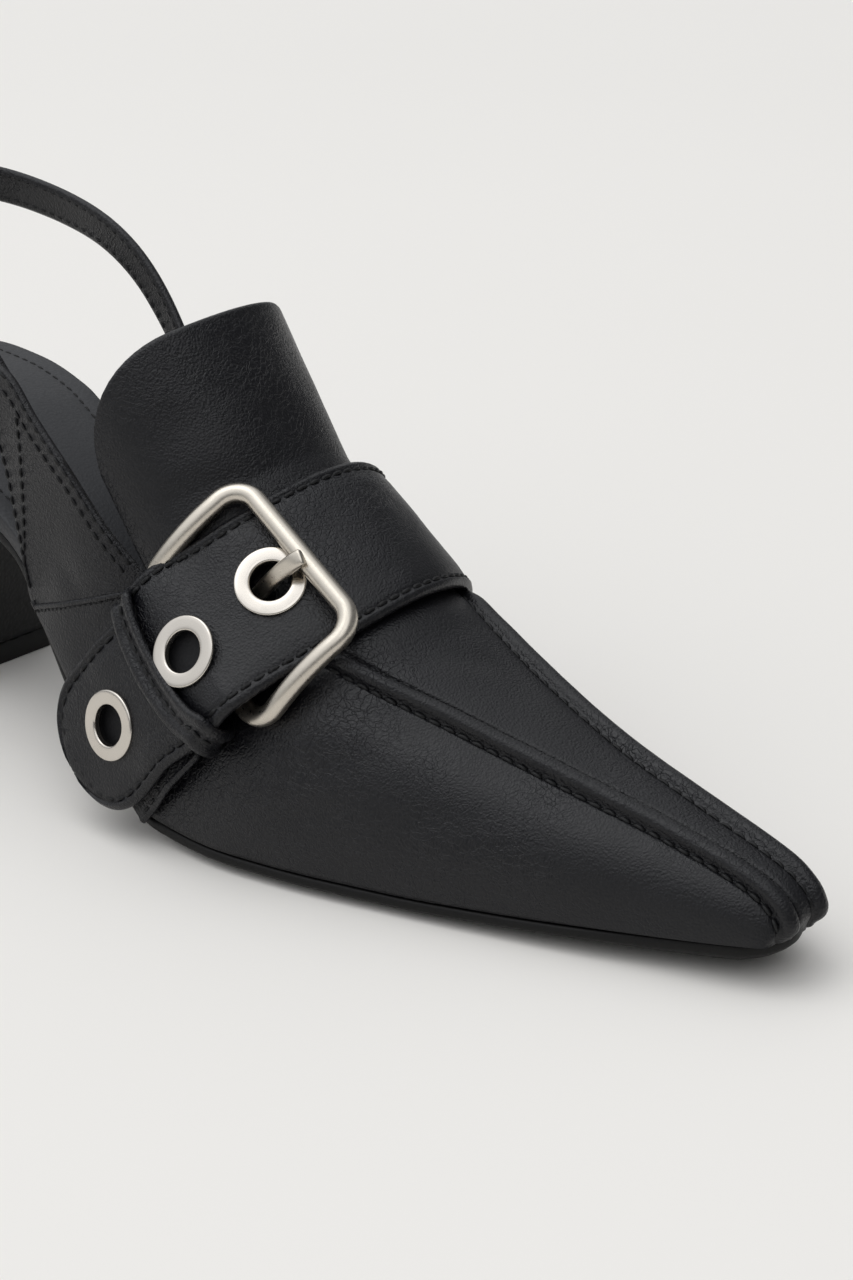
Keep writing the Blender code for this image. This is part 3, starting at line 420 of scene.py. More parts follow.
def ease(xs, ys, at):
    """Smooth curve through the points of a table, without overshoot between them."""
    xs = np.asarray(xs, dtype=float)
    ys = np.asarray(ys, dtype=float)
    at = np.asarray(at, dtype=float)
    step = np.diff(xs)
    rise = np.diff(ys) / step
    slope = np.empty(len(xs))
    slope[0] = rise[0]
    slope[-1] = rise[-1]
    weight_a = 2 * step[1:] + step[:-1]
    weight_b = step[1:] + 2 * step[:-1]
    same = rise[:-1] * rise[1:] > 0
    safe_a = np.where(same, rise[:-1], 1.0)
    safe_b = np.where(same, rise[1:], 1.0)
    mean = (weight_a + weight_b) / (weight_a / safe_a + weight_b / safe_b)
    slope[1:-1] = np.where(same, mean, 0.0)
    i = np.clip(np.searchsorted(xs, at, side="right") - 1, 0, len(step) - 1)
    t = (at - xs[i]) / step[i]
    inside = np.clip(t, 0.0, 1.0)
    a = ys[i] * (1 + 2 * inside) * (1 - inside) ** 2 + ys[i + 1] * inside ** 2 * (3 - 2 * inside)
    b = step[i] * inside * (1 - inside) * (slope[i] * (1 - inside) - slope[i + 1] * inside)
    past = step[i] * (t - inside) * np.where(t > 1, slope[i + 1], slope[i])
    return a + b + past


BED = table(BED_COLUMNS, BED_ROWS)
VAMP = table(VAMP_COLUMNS, VAMP_ROWS)
QUARTER = table(QUARTER_COLUMNS, QUARTER_ROWS)
SLING = table(SLING_COLUMNS, SLING_ROWS)
TAIL = table(TAIL_COLUMNS, TAIL_ROWS)
SPREAD = table(SPREAD_COLUMNS, SPREAD_ROWS)
CREASE = table(CREASE_COLUMNS, CREASE_ROWS)
THROAT = len(VAMP_ROWS) - 1
MOUNTS = {mount["name"]: mount for mount in frame["record"]["mounts"]}
ORIGIN = np.array(MOUNTS["heel_floor"]["pos_m"]) / MM - HEEL_MOUNT


def unit(vectors):
    """Vectors brought to length one."""
    vectors = np.asarray(vectors, dtype=float)
    return vectors / np.maximum(np.linalg.norm(vectors, axis=-1, keepdims=True), 1e-9)


def fade(x, start, stop):
    """Rises smoothly from 0 to 1 between two stations."""
    t = np.clip((np.asarray(x, dtype=float) - start) / (stop - start), 0.0, 1.0)
    return t * t * (3 - 2 * t)


def bed_top(x):
    """Height of the sole's upper face."""
    return ease(BED["x"], BED["top"], x)


def bed_edge(x, side):
    """Distance of the footbed's edge from the middle line; side is 'outer' or 'inner'."""
    return ease(BED["x"], BED[side], x)


def foot_edge(x, side):
    """Where the outer face of the upper stands on the footbed edge."""
    return SIGN[side] * (bed_edge(x, side) + LEATHER + GAP)


def wall(low, high, full, t):
    """Side wall from its foot to its upper edge, bulging towards the corner over the foot."""
    corner = np.array((high[0], low[1], high[2]))
    middle = (low + high) / 2
    pull = middle + full * (corner - middle)
    t = np.asarray(t)[:, None]
    return low * (1 - t) ** 2 + 2 * pull * t * (1 - t) + high * t ** 2


def vamp_points(row, girth):
    """Outer face of the vamp at one section: girth 0 outer foot, 1 and 2 the seams, 3 inner foot."""
    at = np.arange(THROAT + 1)
    size = {name: float(ease(at, values, row)) for name, values in VAMP.items()}
    foot = size["foot"]
    ground = float(bed_top(foot)) + FOOT_GAP
    low_out = np.array((foot, float(foot_edge(foot, "outer")), ground))
    low_in = np.array((foot, float(foot_edge(foot, "inner")), ground))
    high_out = np.array((size["seam_x"], -size["outer"], size["seam_z"]))
    high_in = np.array((size["seam_x"], size["inner"], size["seam_z"]))
    up = unit(np.array((size["seam_x"] - foot, 0.0, max(size["seam_z"] - ground, 0.0))))
    girth = np.asarray(girth, dtype=float)
    points = np.empty((len(girth), 3))
    first = girth <= 1
    last = girth >= 2
    between = ~(first | last)
    points[first] = wall(low_out, high_out, size["full_out"], girth[first])
    points[last] = wall(low_in, high_in, size["full_in"], 3 - girth[last])
    half = (size["outer"] + size["inner"]) / 2
    opening = 2 * math.atan(size["crown"] / half)
    turn = (2 * (girth[between] - 1) - 1) * opening
    across = half * np.sin(turn) / math.sin(opening)
    rise = size["crown"] * (np.cos(turn) - math.cos(opening)) / (1 - math.cos(opening))
    middle = (high_out + high_in) / 2
    points[between] = middle + across[:, None] * np.array((0.0, 1.0, 0.0)) + rise[:, None] * up
    return points


def quarter_points(row, t, side):
    """Outer face of one quarter behind the throat, from its lower edge to the collar."""
    at = np.arange(len(QUARTER_ROWS))
    size = {name: float(ease(at, values, row)) for name, values in QUARTER.items()}
    mark = "out" if side == "outer" else "in"
    foot_z = bed_top(QUARTER["low_x"]) + FOOT_GAP
    foot_y = np.abs(foot_edge(QUARTER["low_x"], side))
    low_z = np.where(at <= STANDING, foot_z, QUARTER["low_z"])
    low_y = np.where(at <= STANDING, foot_y, QUARTER["low_" + mark])
    low = np.array((size["low_x"], SIGN[side] * float(ease(at, low_y, row)), float(ease(at, low_z, row))))
    drop = 0.0 if side == "outer" else size["drop_in"]
    high = np.array((size["high_x"], SIGN[side] * size["high_" + mark], size["high_z"] - drop))
    full = VAMP["full_" + mark][THROAT] * (1 - QUARTER_FLATTENS * row / at[-1])
    return wall(low, high, full, t)


def inner_taper(row):
    """Share of the inner quarter's height that its tip leaves out."""
    return INNER_TAPER * float(fade(row, INNER_END - INNER_TIP, INNER_END))


def tongue_points(level, across):
    """Outer face of the tongue; level runs from 0 at the throat to 1 at its rounded upper edge."""
    base = vamp_points(THROAT, 1 + (across + 1) / 2)
    reach = (base - TONGUE_TOP) @ TONGUE_AXIS
    part = np.clip((np.abs(across) - TONGUE_FLAT) / (1 - TONGUE_FLAT), 0.0, TONGUE_STOP)
    length = -TONGUE_CORNER * (1 - np.sqrt(1 - part ** 2)) - reach
    middle = (base[0] + base[-1]) / 2
    spread = 1 + TONGUE_FLARE * level ** 2
    shape = middle + (base - middle) * np.array((1.0, spread, 1.0))
    return shape + (level * length)[:, None] * TONGUE_AXIS


def grid_normals(grid):
    """Normals of a grid of points, pointing out of the foot."""
    along = np.gradient(grid, axis=0)
    across = np.gradient(grid, axis=1)
    return unit(np.cross(across, along))


def soften(values, passes):
    """Averages a grid over its neighbouring columns a number of times."""
    for _ in range(passes):
        inside = (values[:, :-2] + 2 * values[:, 1:-1] + values[:, 2:]) / 4
        values = np.concatenate((values[:, :1], inside, values[:, -1:]), axis=1)
    return values


def crease_depth(points):
    """How far the listed creases sink the leather at each point."""
    depth = np.zeros(len(points))
    for i in range(len(CREASE_ROWS)):
        a = np.array((CREASE["ax"][i], CREASE["ay"][i], CREASE["az"][i]))
        b = np.array((CREASE["bx"][i], CREASE["by"][i], CREASE["bz"][i]))
        t = np.clip((points - a) @ (b - a) / ((b - a) @ (b - a)), 0.0, 1.0)
        away = np.linalg.norm(points - a - t[:, None] * (b - a), axis=1)
        taper = np.sin(math.pi * np.clip(0.08 + 0.84 * t, 0, 1))
        depth += CREASE["depth"][i] * taper * np.exp(-(away / CREASE["width"][i]) ** 2)
    return depth


def give(points, waves):
    """Slow unevenness of soft leather over a form, from waves of a length and a height."""
    swell = np.zeros(len(points))
    for wave, height in waves:
        swell += np.array([height * noise.noise(Vector(point / wave)) for point in points])
    return swell


def slack(points):
    """How far the leather of the upper lies under its smooth form at each point."""
    return crease_depth(points) - give(points, UPPER_WAVES)


def on_leather(path, normals):
    """Line laid on the creased leather of the upper, with its outward directions."""
    path = np.array(path)
    normals = np.array(normals)
    return path - slack(path)[:, None] * normals, normals


def run_length(path):
    """Distance travelled along a path at each of its points."""
    return np.concatenate(((0.0,), np.cumsum(np.linalg.norm(np.diff(path, axis=0), axis=1))))


def stand(name, data):
    """New object in the scene for a mesh, a camera or a lamp."""
    made = bpy.data.objects.new(name, data)
    bpy.context.scene.collection.objects.link(made)
    return made


def clean_mesh(name, points, faces):
    """Mesh in the frame from points in millimetres, with its faces turned outwards."""
    mesh = bpy.data.meshes.new(name)
    places = (np.asarray(points, dtype=float) + ORIGIN) * MM
    mesh.from_pydata(places.tolist(), [], [tuple(int(i) for i in face) for face in faces])
    build = bmesh.new()
    build.from_mesh(mesh)
    bmesh.ops.recalc_face_normals(build, faces=build.faces)
    build.to_mesh(mesh)
    build.free()
    return mesh


def new_object(name, points, faces, surfaces, slot, replaced=(), marks=None):
    """Dressed piece from points in millimetres; marks give each face its surface."""
    mesh = clean_mesh(name, points, faces)
    for surface in surfaces:
        mesh.materials.append(surface)
    if marks is not None:
        mesh.polygons.foreach_set("material_index", np.asarray(marks, dtype=np.int32))
    mesh.shade_smooth()
    made = stand(name, mesh)
    if replaced:
        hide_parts(*replaced)
    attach(made, "root")
    return made


def quads(rows, corners, closed=False):
    """Faces between neighbouring rings of corners; closed joins the last ring to the first."""
    faces = []
    for i in range(rows if closed else rows - 1):
        after = (i + 1) % rows
        for j in range(corners):
            k = (j + 1) % corners
            faces.append((i * corners + j, i * corners + k, after * corners + k, after * corners + j))
    return faces


def loft(sections, closed=False):
    """Points and faces of a solid through a row of sections with equal numbers of corners."""
    sections = np.asarray(sections, dtype=float)
    rows, corners = sections.shape[:2]
    faces = quads(rows, corners, closed)
    if not closed:
        faces.append(tuple(range(corners)))
        faces.append(tuple((rows - 1) * corners + j for j in range(corners)))
    return sections.reshape(-1, 3), faces


def stack(rings):
    """Points and faces of a solid through level rings; each ring holds two halves of equal stations."""
    rings = np.asarray(rings, dtype=float)
    levels, _, stations = rings.shape[:3]
    loops = np.concatenate((rings[:, 0], rings[:, 1, ::-1]), axis=1)
    count = 2 * stations
    faces = quads(levels, count)
    for level in (0, levels - 1):
        start = level * count
        for j in range(stations - 1):
            far = count - 1 - j
            faces.append((start + j, start + j + 1, start + far - 1, start + far))
    return loops.reshape(-1, 3), faces


def joined(shapes):
    """Points and faces of several shapes as one piece."""
    points = []
    faces = []
    for more, corners in shapes:
        faces += [tuple(i + len(points) for i in face) for face in corners]
        points += list(more)
    return np.array(points), faces


def outline(end, grow):
    """Both sides of the footbed's outline up to one end, moved outwards; returned as two halves."""
    turn = np.linspace(0.02, 1.0, 30) * math.pi / 2
    back = SEAT_RADIUS * (1 - np.cos(turn))
    body = np.linspace(SEAT_RADIUS, end - TOE_ROUND, 140)[1:]
    tip = end - TOE_ROUND + TOE_ROUND * np.sin(np.linspace(0.08, 0.98, 14) * math.pi / 2)
    x = np.concatenate((back, body, tip))
    round_back = np.sqrt(1 - np.clip(1 - x / SEAT_RADIUS, 0, 1) ** 2)
    round_tip = np.sqrt(1 - np.clip((x - end + TOE_ROUND) / TOE_ROUND, 0, 1) ** 2)
    halves = []
    for side, sign in SIGN.items():
        halves.append(np.stack((x, sign * bed_edge(x, side) * round_back * round_tip), axis=1))
    loop = np.concatenate((halves[0], halves[1][::-1]))
    tangent = unit(np.roll(loop, -1, axis=0) - np.roll(loop, 1, axis=0))
    outwards = np.stack((tangent[:, 1], -tangent[:, 0]), axis=1)
    amount = grow(loop[:, 0]) if callable(grow) else np.full(len(loop), float(grow))
    moved = loop + outwards * amount[:, None]
    count = len(x)
    return np.stack((moved[:count], moved[count:][::-1]))


def bed_ring(end, grow, drop):
    """Outline at a height measured down from the sole's upper face."""
    halves = outline(end, grow)
    amount = drop(halves[..., 0]) if callable(drop) else drop
    return np.concatenate((halves, (bed_top(halves[..., 0]) - amount)[..., None]), axis=-1)


def sole_thickness(x):
    """Thickness of the outsole, slimmer under the arch and the seat and fuller under the toe."""
    return SOLE_THICK - SHANK_THIN * (1 - fade(x, *SHANK)) + TOE_FULL * fade(x, *TOE_FILLS)


def insole_height(x):
    """Thickness of the footbed, thinner once it is inside the vamp."""
    return INSOLE_THICK + (INSOLE_FRONT - INSOLE_THICK) * fade(x, *INSOLE_THINS)


def insole_inset(x):
    """Where the footbed's edge draws in to pass inside the upper."""
    return -INSOLE_DRAW * fade(x, *INSOLE_DRAWS)


def footbed_ring(out, up):
    """Outline of the footbed, moved outwards, at a share of its height."""
    return bed_ring(
        INSOLE_END, lambda x: insole_inset(x) + out, lambda x: -FOOT_GAP - up * insole_height(x),
    )


def sole_ring(out, down):
    """Outline of the sole at a share of its tuck outwards and of its thickness down."""
    def shift(x):
        edge = SOLE_EDGE * fade(x, *WAIST) * (1 - EDGE_SLIM * fade(x, *EDGE_SLIMS))
        return edge + out * (WAIST_TUCK + (SOLE_TUCK - WAIST_TUCK) * fade(x, *WAIST))

    return bed_ring(TOE_END - TOE_DRAW, shift, lambda x: down * sole_thickness(x))


def make_sole(looks):
    """Outsole with a slim inked edge and the footbed with its bound rim."""
    rings = np.array([sole_ring(*corner) for corner in SOLE_PROFILE])
    rings[..., 2] = np.maximum(rings[..., 2], 0.0)
    new_object("outsole_inked", *stack(rings), [looks["sole"]], "sole", ["outsole"])
    rings = [footbed_ring(*corner) for corner in FOOTBED_PROFILE]
    new_object("footbed", *stack(rings), [looks["insole"]], "insole_leather", ["insole"])


def heel_outline(back, breast, width):
    """Both halves of a heel outline."""
    return np.array([heel_half(back, breast, width, HEEL_CORNER, sign) for sign in SIGN.values()])


def heel_half(back, breast, width, corner, sign):
    """Half of a heel outline from the middle of its back round to the middle of its breast."""
    arc = np.linspace(0.02, 1.0, 26) * math.pi / 2
    round_back = np.stack((back + width * (1 - np.cos(arc)), width * np.sin(arc)), axis=1)
    bend = np.linspace(0.0, 1.0, 12) * math.pi / 2
    centre = np.array((breast - corner, width - corner))
    round_front = centre + corner * np.stack((np.sin(bend), np.cos(bend)), axis=1)
    side_x = np.linspace(back + width, breast - corner, 10)[1:-1]
    side = np.stack((side_x, np.full(len(side_x), width)), axis=1)
    middle = np.stack((np.full(7, breast), np.linspace(0.6, 0.03, 7) * width), axis=1)
    half = np.concatenate((round_back, side, round_front, middle))
    half[:, 1] *= sign
    return half


def make_heel(looks):
    """Leather-covered block heel and the rubber lift it stands on."""
    foot = heel_outline(*HEEL_FOOT)
    seat = heel_outline(HEEL_INSET, HEEL_BREAST, SEAT_RADIUS - HEEL_INSET)
    top = bed_top(seat[..., 0]) - sole_thickness(seat[..., 0]) - GAP
    rings = []
    for level in np.linspace(1.0, 0.0, 40):
        plan = foot + (seat - foot) * float(ease(HEEL_LEVELS, HEEL_SHARES, level))
        height = LIFT_THICK + GAP + level * (top - LIFT_THICK - GAP)
        rings.append(np.concatenate((plan, height[..., None]), axis=-1))
    new_object("heel_cover", *stack(rings), [looks["heel"]], "heel", ["heel"])
    back, breast, width = HEEL_FOOT
    rings = []
    for inset, height in LIFT_PROFILE:
        plan = heel_outline(back + inset, breast - inset, width - inset)
        rings.append(np.concatenate((plan, np.full(plan.shape[:2] + (1,), height)), axis=-1))
    new_object("heel_lift", *stack(rings), [looks["lift"]], "lift", ["top_lift"])


WALL_COLUMNS = 38
ZONE_COLUMNS = 12
APRON_COLUMNS = 30
ZONE = np.linspace(0.0, 2.0, ZONE_COLUMNS + 1)
SEAM_OUT = WALL_COLUMNS + ZONE_COLUMNS


def seam_shares(row):
    """Half width of the rolled seams as shares of the outer wall, the apron and the inner wall."""
    probe = vamp_points(row, np.linspace(0, 3, 61))
    length = np.linalg.norm(np.diff(probe, axis=0), axis=1)
    side_out = min(SEAM_WIDTH / length[:20].sum(), MOST_OF_WALL)
    apron = min(SEAM_WIDTH / length[20:40].sum(), MOST_OF_APRON)
    side_in = min(SEAM_WIDTH / length[40:].sum(), MOST_OF_WALL)
    return side_out, apron, side_in


def seam_columns(row):
    """Girth stations of one section, close together across both rolled seams."""
    side_out, apron, side_in = seam_shares(row)
    return np.concatenate((
        np.linspace(0, 1 - 2 * side_out, WALL_COLUMNS + 1)[:-1],
        1 - side_out * ZONE[::-1],
        1 + apron * ZONE[1:],
        np.linspace(1 + 2 * apron, 2 - 2 * apron, APRON_COLUMNS + 1)[1:-1],
        2 - apron * ZONE[::-1],
        2 + side_in * ZONE[1:],
        np.linspace(2 + 2 * side_in, 3, WALL_COLUMNS + 1)[1:],
    ))


def seam_places():
    """Place of every girth column across the outer and the inner rolled seam."""
    far = np.full(WALL_COLUMNS, SEAM_FAR)
    apron = np.full(APRON_COLUMNS - 1, SEAM_FAR)
    zone = np.concatenate((-ZONE[::-1], ZONE[1:]))
    away = np.full(len(zone), SEAM_FAR)
    outer = np.concatenate((far, zone, apron, away, far))
    inner = np.concatenate((far, away, apron, zone, far))
    return outer, inner


def rolled(place, groove_before, groove_after):
    """Section of a rolled seam with the grooves at both of its sides, for a height of one."""
    body = np.sqrt(np.clip(1 - np.clip(np.abs(place) / SEAM_BODY, 0, 1) ** 2, 0, 1))
    dip = np.exp(-((np.abs(place) - GROOVE_AT) / GROOVE_WIDTH) ** 2)
    deep = np.where(place < 0, groove_before, groove_after)
    return body - deep * dip


def seam_relief(row, outer, inner):
    """Height of the rolled seams over one section."""
    rise = SEAM_AT_TOE + (1 - SEAM_AT_TOE) * float(fade(row, *SEAM_RISES))
    raised = SEAM_HEIGHT * (1 - float(fade(row, *SEAM_ENDS))) * rise
    return raised * (rolled(outer, *OUTER_GROOVES) + rolled(inner, *INNER_GROOVES))


def rim_share(distance):
    """Share of the full thickness left at a distance from a free, rounded edge."""
    t = np.clip(distance / (LEATHER * RIM_ROUND), 0.0, 1.0)
    return np.sqrt(1 - (1 - t) ** 2)


def closing(steps, close_steps, last):
    """Stations from 0 to 1, close together over the last share, towards a rounded edge."""
    near = 1 - last * np.linspace(1, 0, close_steps)[1:] ** 1.8
    return np.concatenate((np.linspace(0, 1 - last, steps), near))


def vamp_layers(rows):
    """Both faces of the vamp with its rolled seams, and the directions out of it."""
    places = seam_places()
    base = np.array([vamp_points(row, seam_columns(row)) for row in rows])
    base[..., 0] -= TOE_TUCK * (1 - fade(rows, 0.0, TOE_TUCK_ROWS))[:, None]
    normal = unit(soften(grid_normals(base), 8))
    relief = np.array([seam_relief(row, *places) for row in rows])
    count = base.shape[1]
    outer = base + relief[..., None] * normal
    inner = base - LEATHER * normal
    for column, side in ((0, "outer"), (count - 1, "inner")):
        inner[:, column] = base[:, column] - LEATHER * np.array((0.0, SIGN[side], 0.0))
    fan = np.linspace(-1, 1, count)
    inner[0] = base[0] - LEATHER * unit(np.stack((np.ones(count), fan, np.zeros(count)), axis=1))
    outer[0, :, 2] = bed_top(outer[0, :, 0]) + FOOT_GAP
    inner[..., 2] = np.maximum(inner[..., 2], bed_top(inner[..., 0]) + FOOT_GAP)
    return outer, inner, normal


def tongue_patch(across):
    """Points of the tongue with their distance from its free edges."""
    patch = np.array([tongue_points(level, across) for level in closing(46, 14, 0.1)])
    from_left = travelled(patch, 1)
    from_top = travelled(patch[::-1], 0)[::-1]
    return patch, np.minimum(np.minimum(from_left, from_left[:, -1:] - from_left), from_top)


def quarter_patch(side, girth):
    """Points of one quarter with their distance from its free edges."""
    end = len(QUARTER_ROWS) - 1 if side == "outer" else INNER_END
    t = girth if side == "outer" else 3 - girth
    rows = closing(52, 12, 0.07) * end
    patch = []
    for row in rows:
        low = inner_taper(row) if side == "inner" else 0.0
        patch.append(quarter_points(row, low + (1 - low) * t, side))
    patch = np.array(patch)
    from_first = travelled(patch, 1)
    from_last = from_first[:, -1:] - from_first
    from_end = travelled(patch[::-1], 0)[::-1]
    standing = np.where(rows > LEAVES_SOLE, 0.0, FAR_FROM_EDGE)[:, None]
    collar, low_edge = (from_last, from_first) if side == "outer" else (from_first, from_last)
    return patch, np.minimum(np.minimum(collar, low_edge + standing), from_end)


def travelled(points, axis):
    """Distance along one axis of a grid from its first line."""
    step = np.linalg.norm(np.diff(points, axis=axis), axis=-1)
    start = np.zeros_like(np.take(step, [0], axis=axis))
    return np.concatenate((start, np.cumsum(step, axis=axis)), axis=axis)


def make_upper(looks):
    """Vamp, tongue and quarters in one wall, with rolled seams, creases and rounded free edges."""
    rows = np.concatenate((np.linspace(0, 4, 37), np.linspace(4, THROAT, 117)[1:]))
    outer, inner, normal = vamp_layers(rows)
    count = outer.shape[1]
    points_out = [outer.reshape(-1, 3)]
    points_in = [inner.reshape(-1, 3)]
    leans = [normal.reshape(-1, 3)]
    faces = []
    for i in range(len(rows) - 1):
        for a in range(i * count, (i + 1) * count - 1):
            faces.append((a, a + 1, a + count + 1, a + count))

    start = (len(rows) - 1) * count
    seam_in = count - 1 - SEAM_OUT
    girth = seam_columns(THROAT)
    across = 2 * (girth[SEAM_OUT:seam_in + 1] - 1) - 1
    total = len(rows) * count
    for (patch, edges), columns in (
        (tongue_patch(across), range(SEAM_OUT, seam_in + 1)),
        (quarter_patch("outer", girth[:SEAM_OUT + 1]), range(0, SEAM_OUT + 1)),
        (quarter_patch("inner", girth[seam_in:]), range(seam_in, count)),
    ):
        lean = unit(soften(grid_normals(patch), 2))
        roll = (1 - rim_share(edges)[..., None]) * LEATHER / 2
        points_out.append((patch - roll * lean)[1:].reshape(-1, 3))
        points_in.append((patch - (LEATHER - roll) * lean)[1:].reshape(-1, 3))
        leans.append(lean[1:].reshape(-1, 3))
        above = start + np.array(columns)
        for _ in range(len(patch) - 1):
            below = np.arange(total, total + len(above))
            total += len(above)
            for j in range(len(above) - 1):
                faces.append((above[j], above[j + 1], below[j + 1], below[j]))
            above = below

    points_out = np.concatenate(points_out)
    points_in = np.concatenate(points_in)
    leans = np.concatenate(leans)
    lift = np.clip((points_out[:, 2] - bed_top(points_out[:, 0])) / LIFT_OFF, 0.0, 1.0)
    sink = slack(points_out) * lift
    points_out = points_out - sink[:, None] * leans
    points_in = points_in - LINING_FOLLOWS * sink[:, None] * leans
    layer = len(points_out)
    edges = {}
    for face in faces:
        for a, b in zip(face, face[1:] + face[:1]):
            key = (min(a, b), max(a, b))
            edges[key] = edges.get(key, 0) + 1
    shell = list(faces)
    shell += [tuple(i + layer for i in reversed(face)) for face in faces]
    shell += [(a, b, b + layer, a + layer) for (a, b), uses in edges.items() if uses == 1]
    marks = np.zeros(len(shell), dtype=int)
    marks[len(faces):2 * len(faces)] = 1
    new_object(
        "upper_leather", np.concatenate((points_out, points_in)), shell,
        [looks["leather"], looks["lining"]], "upper_leather", ["upper"], marks,
    )


def stitch(line, leans, thick, sink):
    """One stitch along a short line: a round thread whose two ends dive into the leather."""
    sides = unit(np.cross(leans, unit(np.gradient(line, axis=0))))
    turn = np.linspace(0, 2 * math.pi, STITCH_SIDES, endpoint=False)[:, None]
    rings = []
    for t, point, side, lean in zip(np.linspace(-1, 1, STITCH_RINGS), line, sides, leans):
        girth = thick * math.sqrt(max(1 - 0.93 * t ** 4, 0.02))
        height = thick * 0.55 - sink - 0.75 * thick * t ** 2
        rings.append(point + height * lean + girth * (np.cos(turn) * side + 0.8 * np.sin(turn) * lean))
    return loft(rings)


def thread_run(path, normals, pitch=STITCH_PITCH, long=STITCH_LONG, thick=THREAD, sink=THREAD_SINK):
    """Stitches in a row along a path on the leather."""
    path = np.asarray(path, dtype=float)
    run = run_length(path)
    number = max(int(run[-1] / pitch), 1)
    stitches = []
    for centre in (np.arange(number) + 0.5) * run[-1] / number:
        spots = np.linspace(-0.5, 0.5, STITCH_RINGS) * long + centre
        line = np.stack([np.interp(spots, run, path[:, k]) for k in range(3)], axis=1)
        leans = unit(np.stack([np.interp(spots, run, normals[:, k]) for k in range(3)], axis=1))
        stitches.append(stitch(line, leans, thick, sink))
    return stitches


def make_thread(name, runs, looks, **sizes):
    """One piece of thread from several rows of stitches."""
    stitches = []
    for path, normals in runs:
        stitches += thread_run(path, normals, **sizes)
    new_object(name, *joined(stitches), [looks["thread"]], "upper_leather")


def vamp_run(rows, place, seam):
    """Row of stitches beside one rolled seam, at a place across it in half widths."""
    path = []
    normals = []
    for row in rows:
        side_out, apron, side_in = seam_shares(row)
        if seam == "outer":
            girth = 1 + (side_out if place < 0 else apron) * place
        else:
            girth = 2 + (apron if place < 0 else side_in) * place
        spread = np.array((girth - 0.02, girth, girth + 0.02))
        points = vamp_points(row, spread)
        behind = vamp_points(min(row + NEXT_ROW, THROAT), spread[1:2])[0]
        ahead = vamp_points(max(row - NEXT_ROW, 0.0), spread[1:2])[0]
        path.append(points[1])
        normals.append(unit(np.cross(points[2] - points[0], behind - ahead)))
    return on_leather(path, normals)


def quarter_normal(row, t, side, line, k):
    """Direction out of a quarter at one point of a line up its height."""
    onward = quarter_points(row, t[k:k + 1], side)[0] - line[k]
    normal = unit(np.cross(line[min(k + 1, len(line) - 1)] - line[k - 1], onward))
    return -normal if normal[1] * line[k][1] < 0 else normal


def quarter_run(rows, insets, side, edge="collar"):
    """Row of stitches on a quarter at a distance from its collar or from its lower edge."""
    path = []
    normals = []
    for row in rows:
        low = inner_taper(row) if side == "inner" else 0.0
        t = low + (1 - low) * np.linspace(0, 1, 241)
        if edge == "collar":
            t = t[::-1]
        points = quarter_points(row, t, side)
        gone = run_length(points)
        inset = float(insets(row)) if callable(insets) else insets
        k = int(np.clip(np.searchsorted(gone, inset), 1, 239))
        share = (inset - gone[k - 1]) / max(gone[k] - gone[k - 1], 1e-6)
        path.append(points[k - 1] + min(share, 1.0) * (points[k] - points[k - 1]))
        normals.append(quarter_normal(min(row + NEXT_ROW, len(QUARTER_ROWS) - 1.0), t, side, points, k))
    return on_leather(path, normals)


def second_row(row):
    """Distance of the collar's second row of stitches from its edge."""
    return 3.2 + 1.2 * fade(row, 0.8, 3.5)


def rising_row(row):
    """Distance from the lower edge of the stitches that rise to the collar behind the waist."""
    return 1.7 + 18.5 * max(row - 2.6, 0.0) / 0.9


def make_upper_thread(looks):
    """Stitches beside the rolled seams, along the collar and round the ends of the quarters."""
    rows = np.linspace(1.2, 10.0, 150)
    runs = [vamp_run(rows, -1.2, side) for side in SIGN]
    make_thread("seam_stitches", runs, looks, **SEAM_THREAD)
    inner = np.linspace(0.25, INNER_END - 0.2, 60)
    runs = [
        quarter_run(np.linspace(0.25, 5.8, 80), COLLAR_SEAM, "outer"),
        quarter_run(np.linspace(0.25, 4.5, 66), second_row, "outer"),
        quarter_run(np.linspace(2.2, 3.5, 40), rising_row, "outer", "low"),
        quarter_run(np.linspace(LEAVES_SOLE, 5.6, 60), REAR_SEAM, "outer", "low"),
        quarter_run(inner, COLLAR_SEAM, "inner"),
        quarter_run(inner, second_row, "inner"),
    ]
    make_thread("collar_stitches", runs, looks, **COLLAR_THREAD)


@functools.lru_cache(maxsize=1)
def strap_line():
    """Girth stations under the strap's middle with their distance round the instep."""
    girth = np.linspace(0, 3, 241)
    points = vamp_points(STRAP_ROW, girth)
    return girth, run_length(points)


def instep(row, along):
    """Outer face of the upper at a distance round the instep; past its foot it runs straight on."""
    girth, length = strap_line()
    at = float(np.interp(max(along, 0.0), length, girth))
    point = vamp_points(row, (at,))[0]
    if along < 0:
        first = vamp_points(row, (0.0, 0.05))
        point = point + along * unit(first[1] - first[0])
    return point


@functools.lru_cache(maxsize=None)
def strap_frame(along):
    """Point on the upper under the strap's middle with the strap's directions there."""
    point = instep(STRAP_ROW, along)
    onward = unit(instep(STRAP_ROW, along + 0.5) - instep(STRAP_ROW, along - 0.5))
    side = instep(STRAP_ROW - STRAP_HALF_ROWS, along) - instep(STRAP_ROW + STRAP_HALF_ROWS, along)
    side = unit(side - onward * (side @ onward))
    out = unit(np.cross(onward, side))
    if out @ (point - np.array((point[0], 0.0, 20.0))) < 0:
        out = -out
    return point, onward, side, out


def smooth_frames(stations):
    """Frames along the strap, eased over the seams by averaging neighbouring stations."""
    points = []
    sides = []
    outs = []
    for along in stations:
        near = [strap_frame(float(along + step)) for step in STRAP_EASE]
        points.append(np.mean([place[0] for place in near[2:5]], axis=0))
        sides.append(np.mean([place[2] for place in near], axis=0))
        outs.append(np.mean([place[3] for place in near], axis=0))
    return np.array(points), unit(sides), unit(outs)


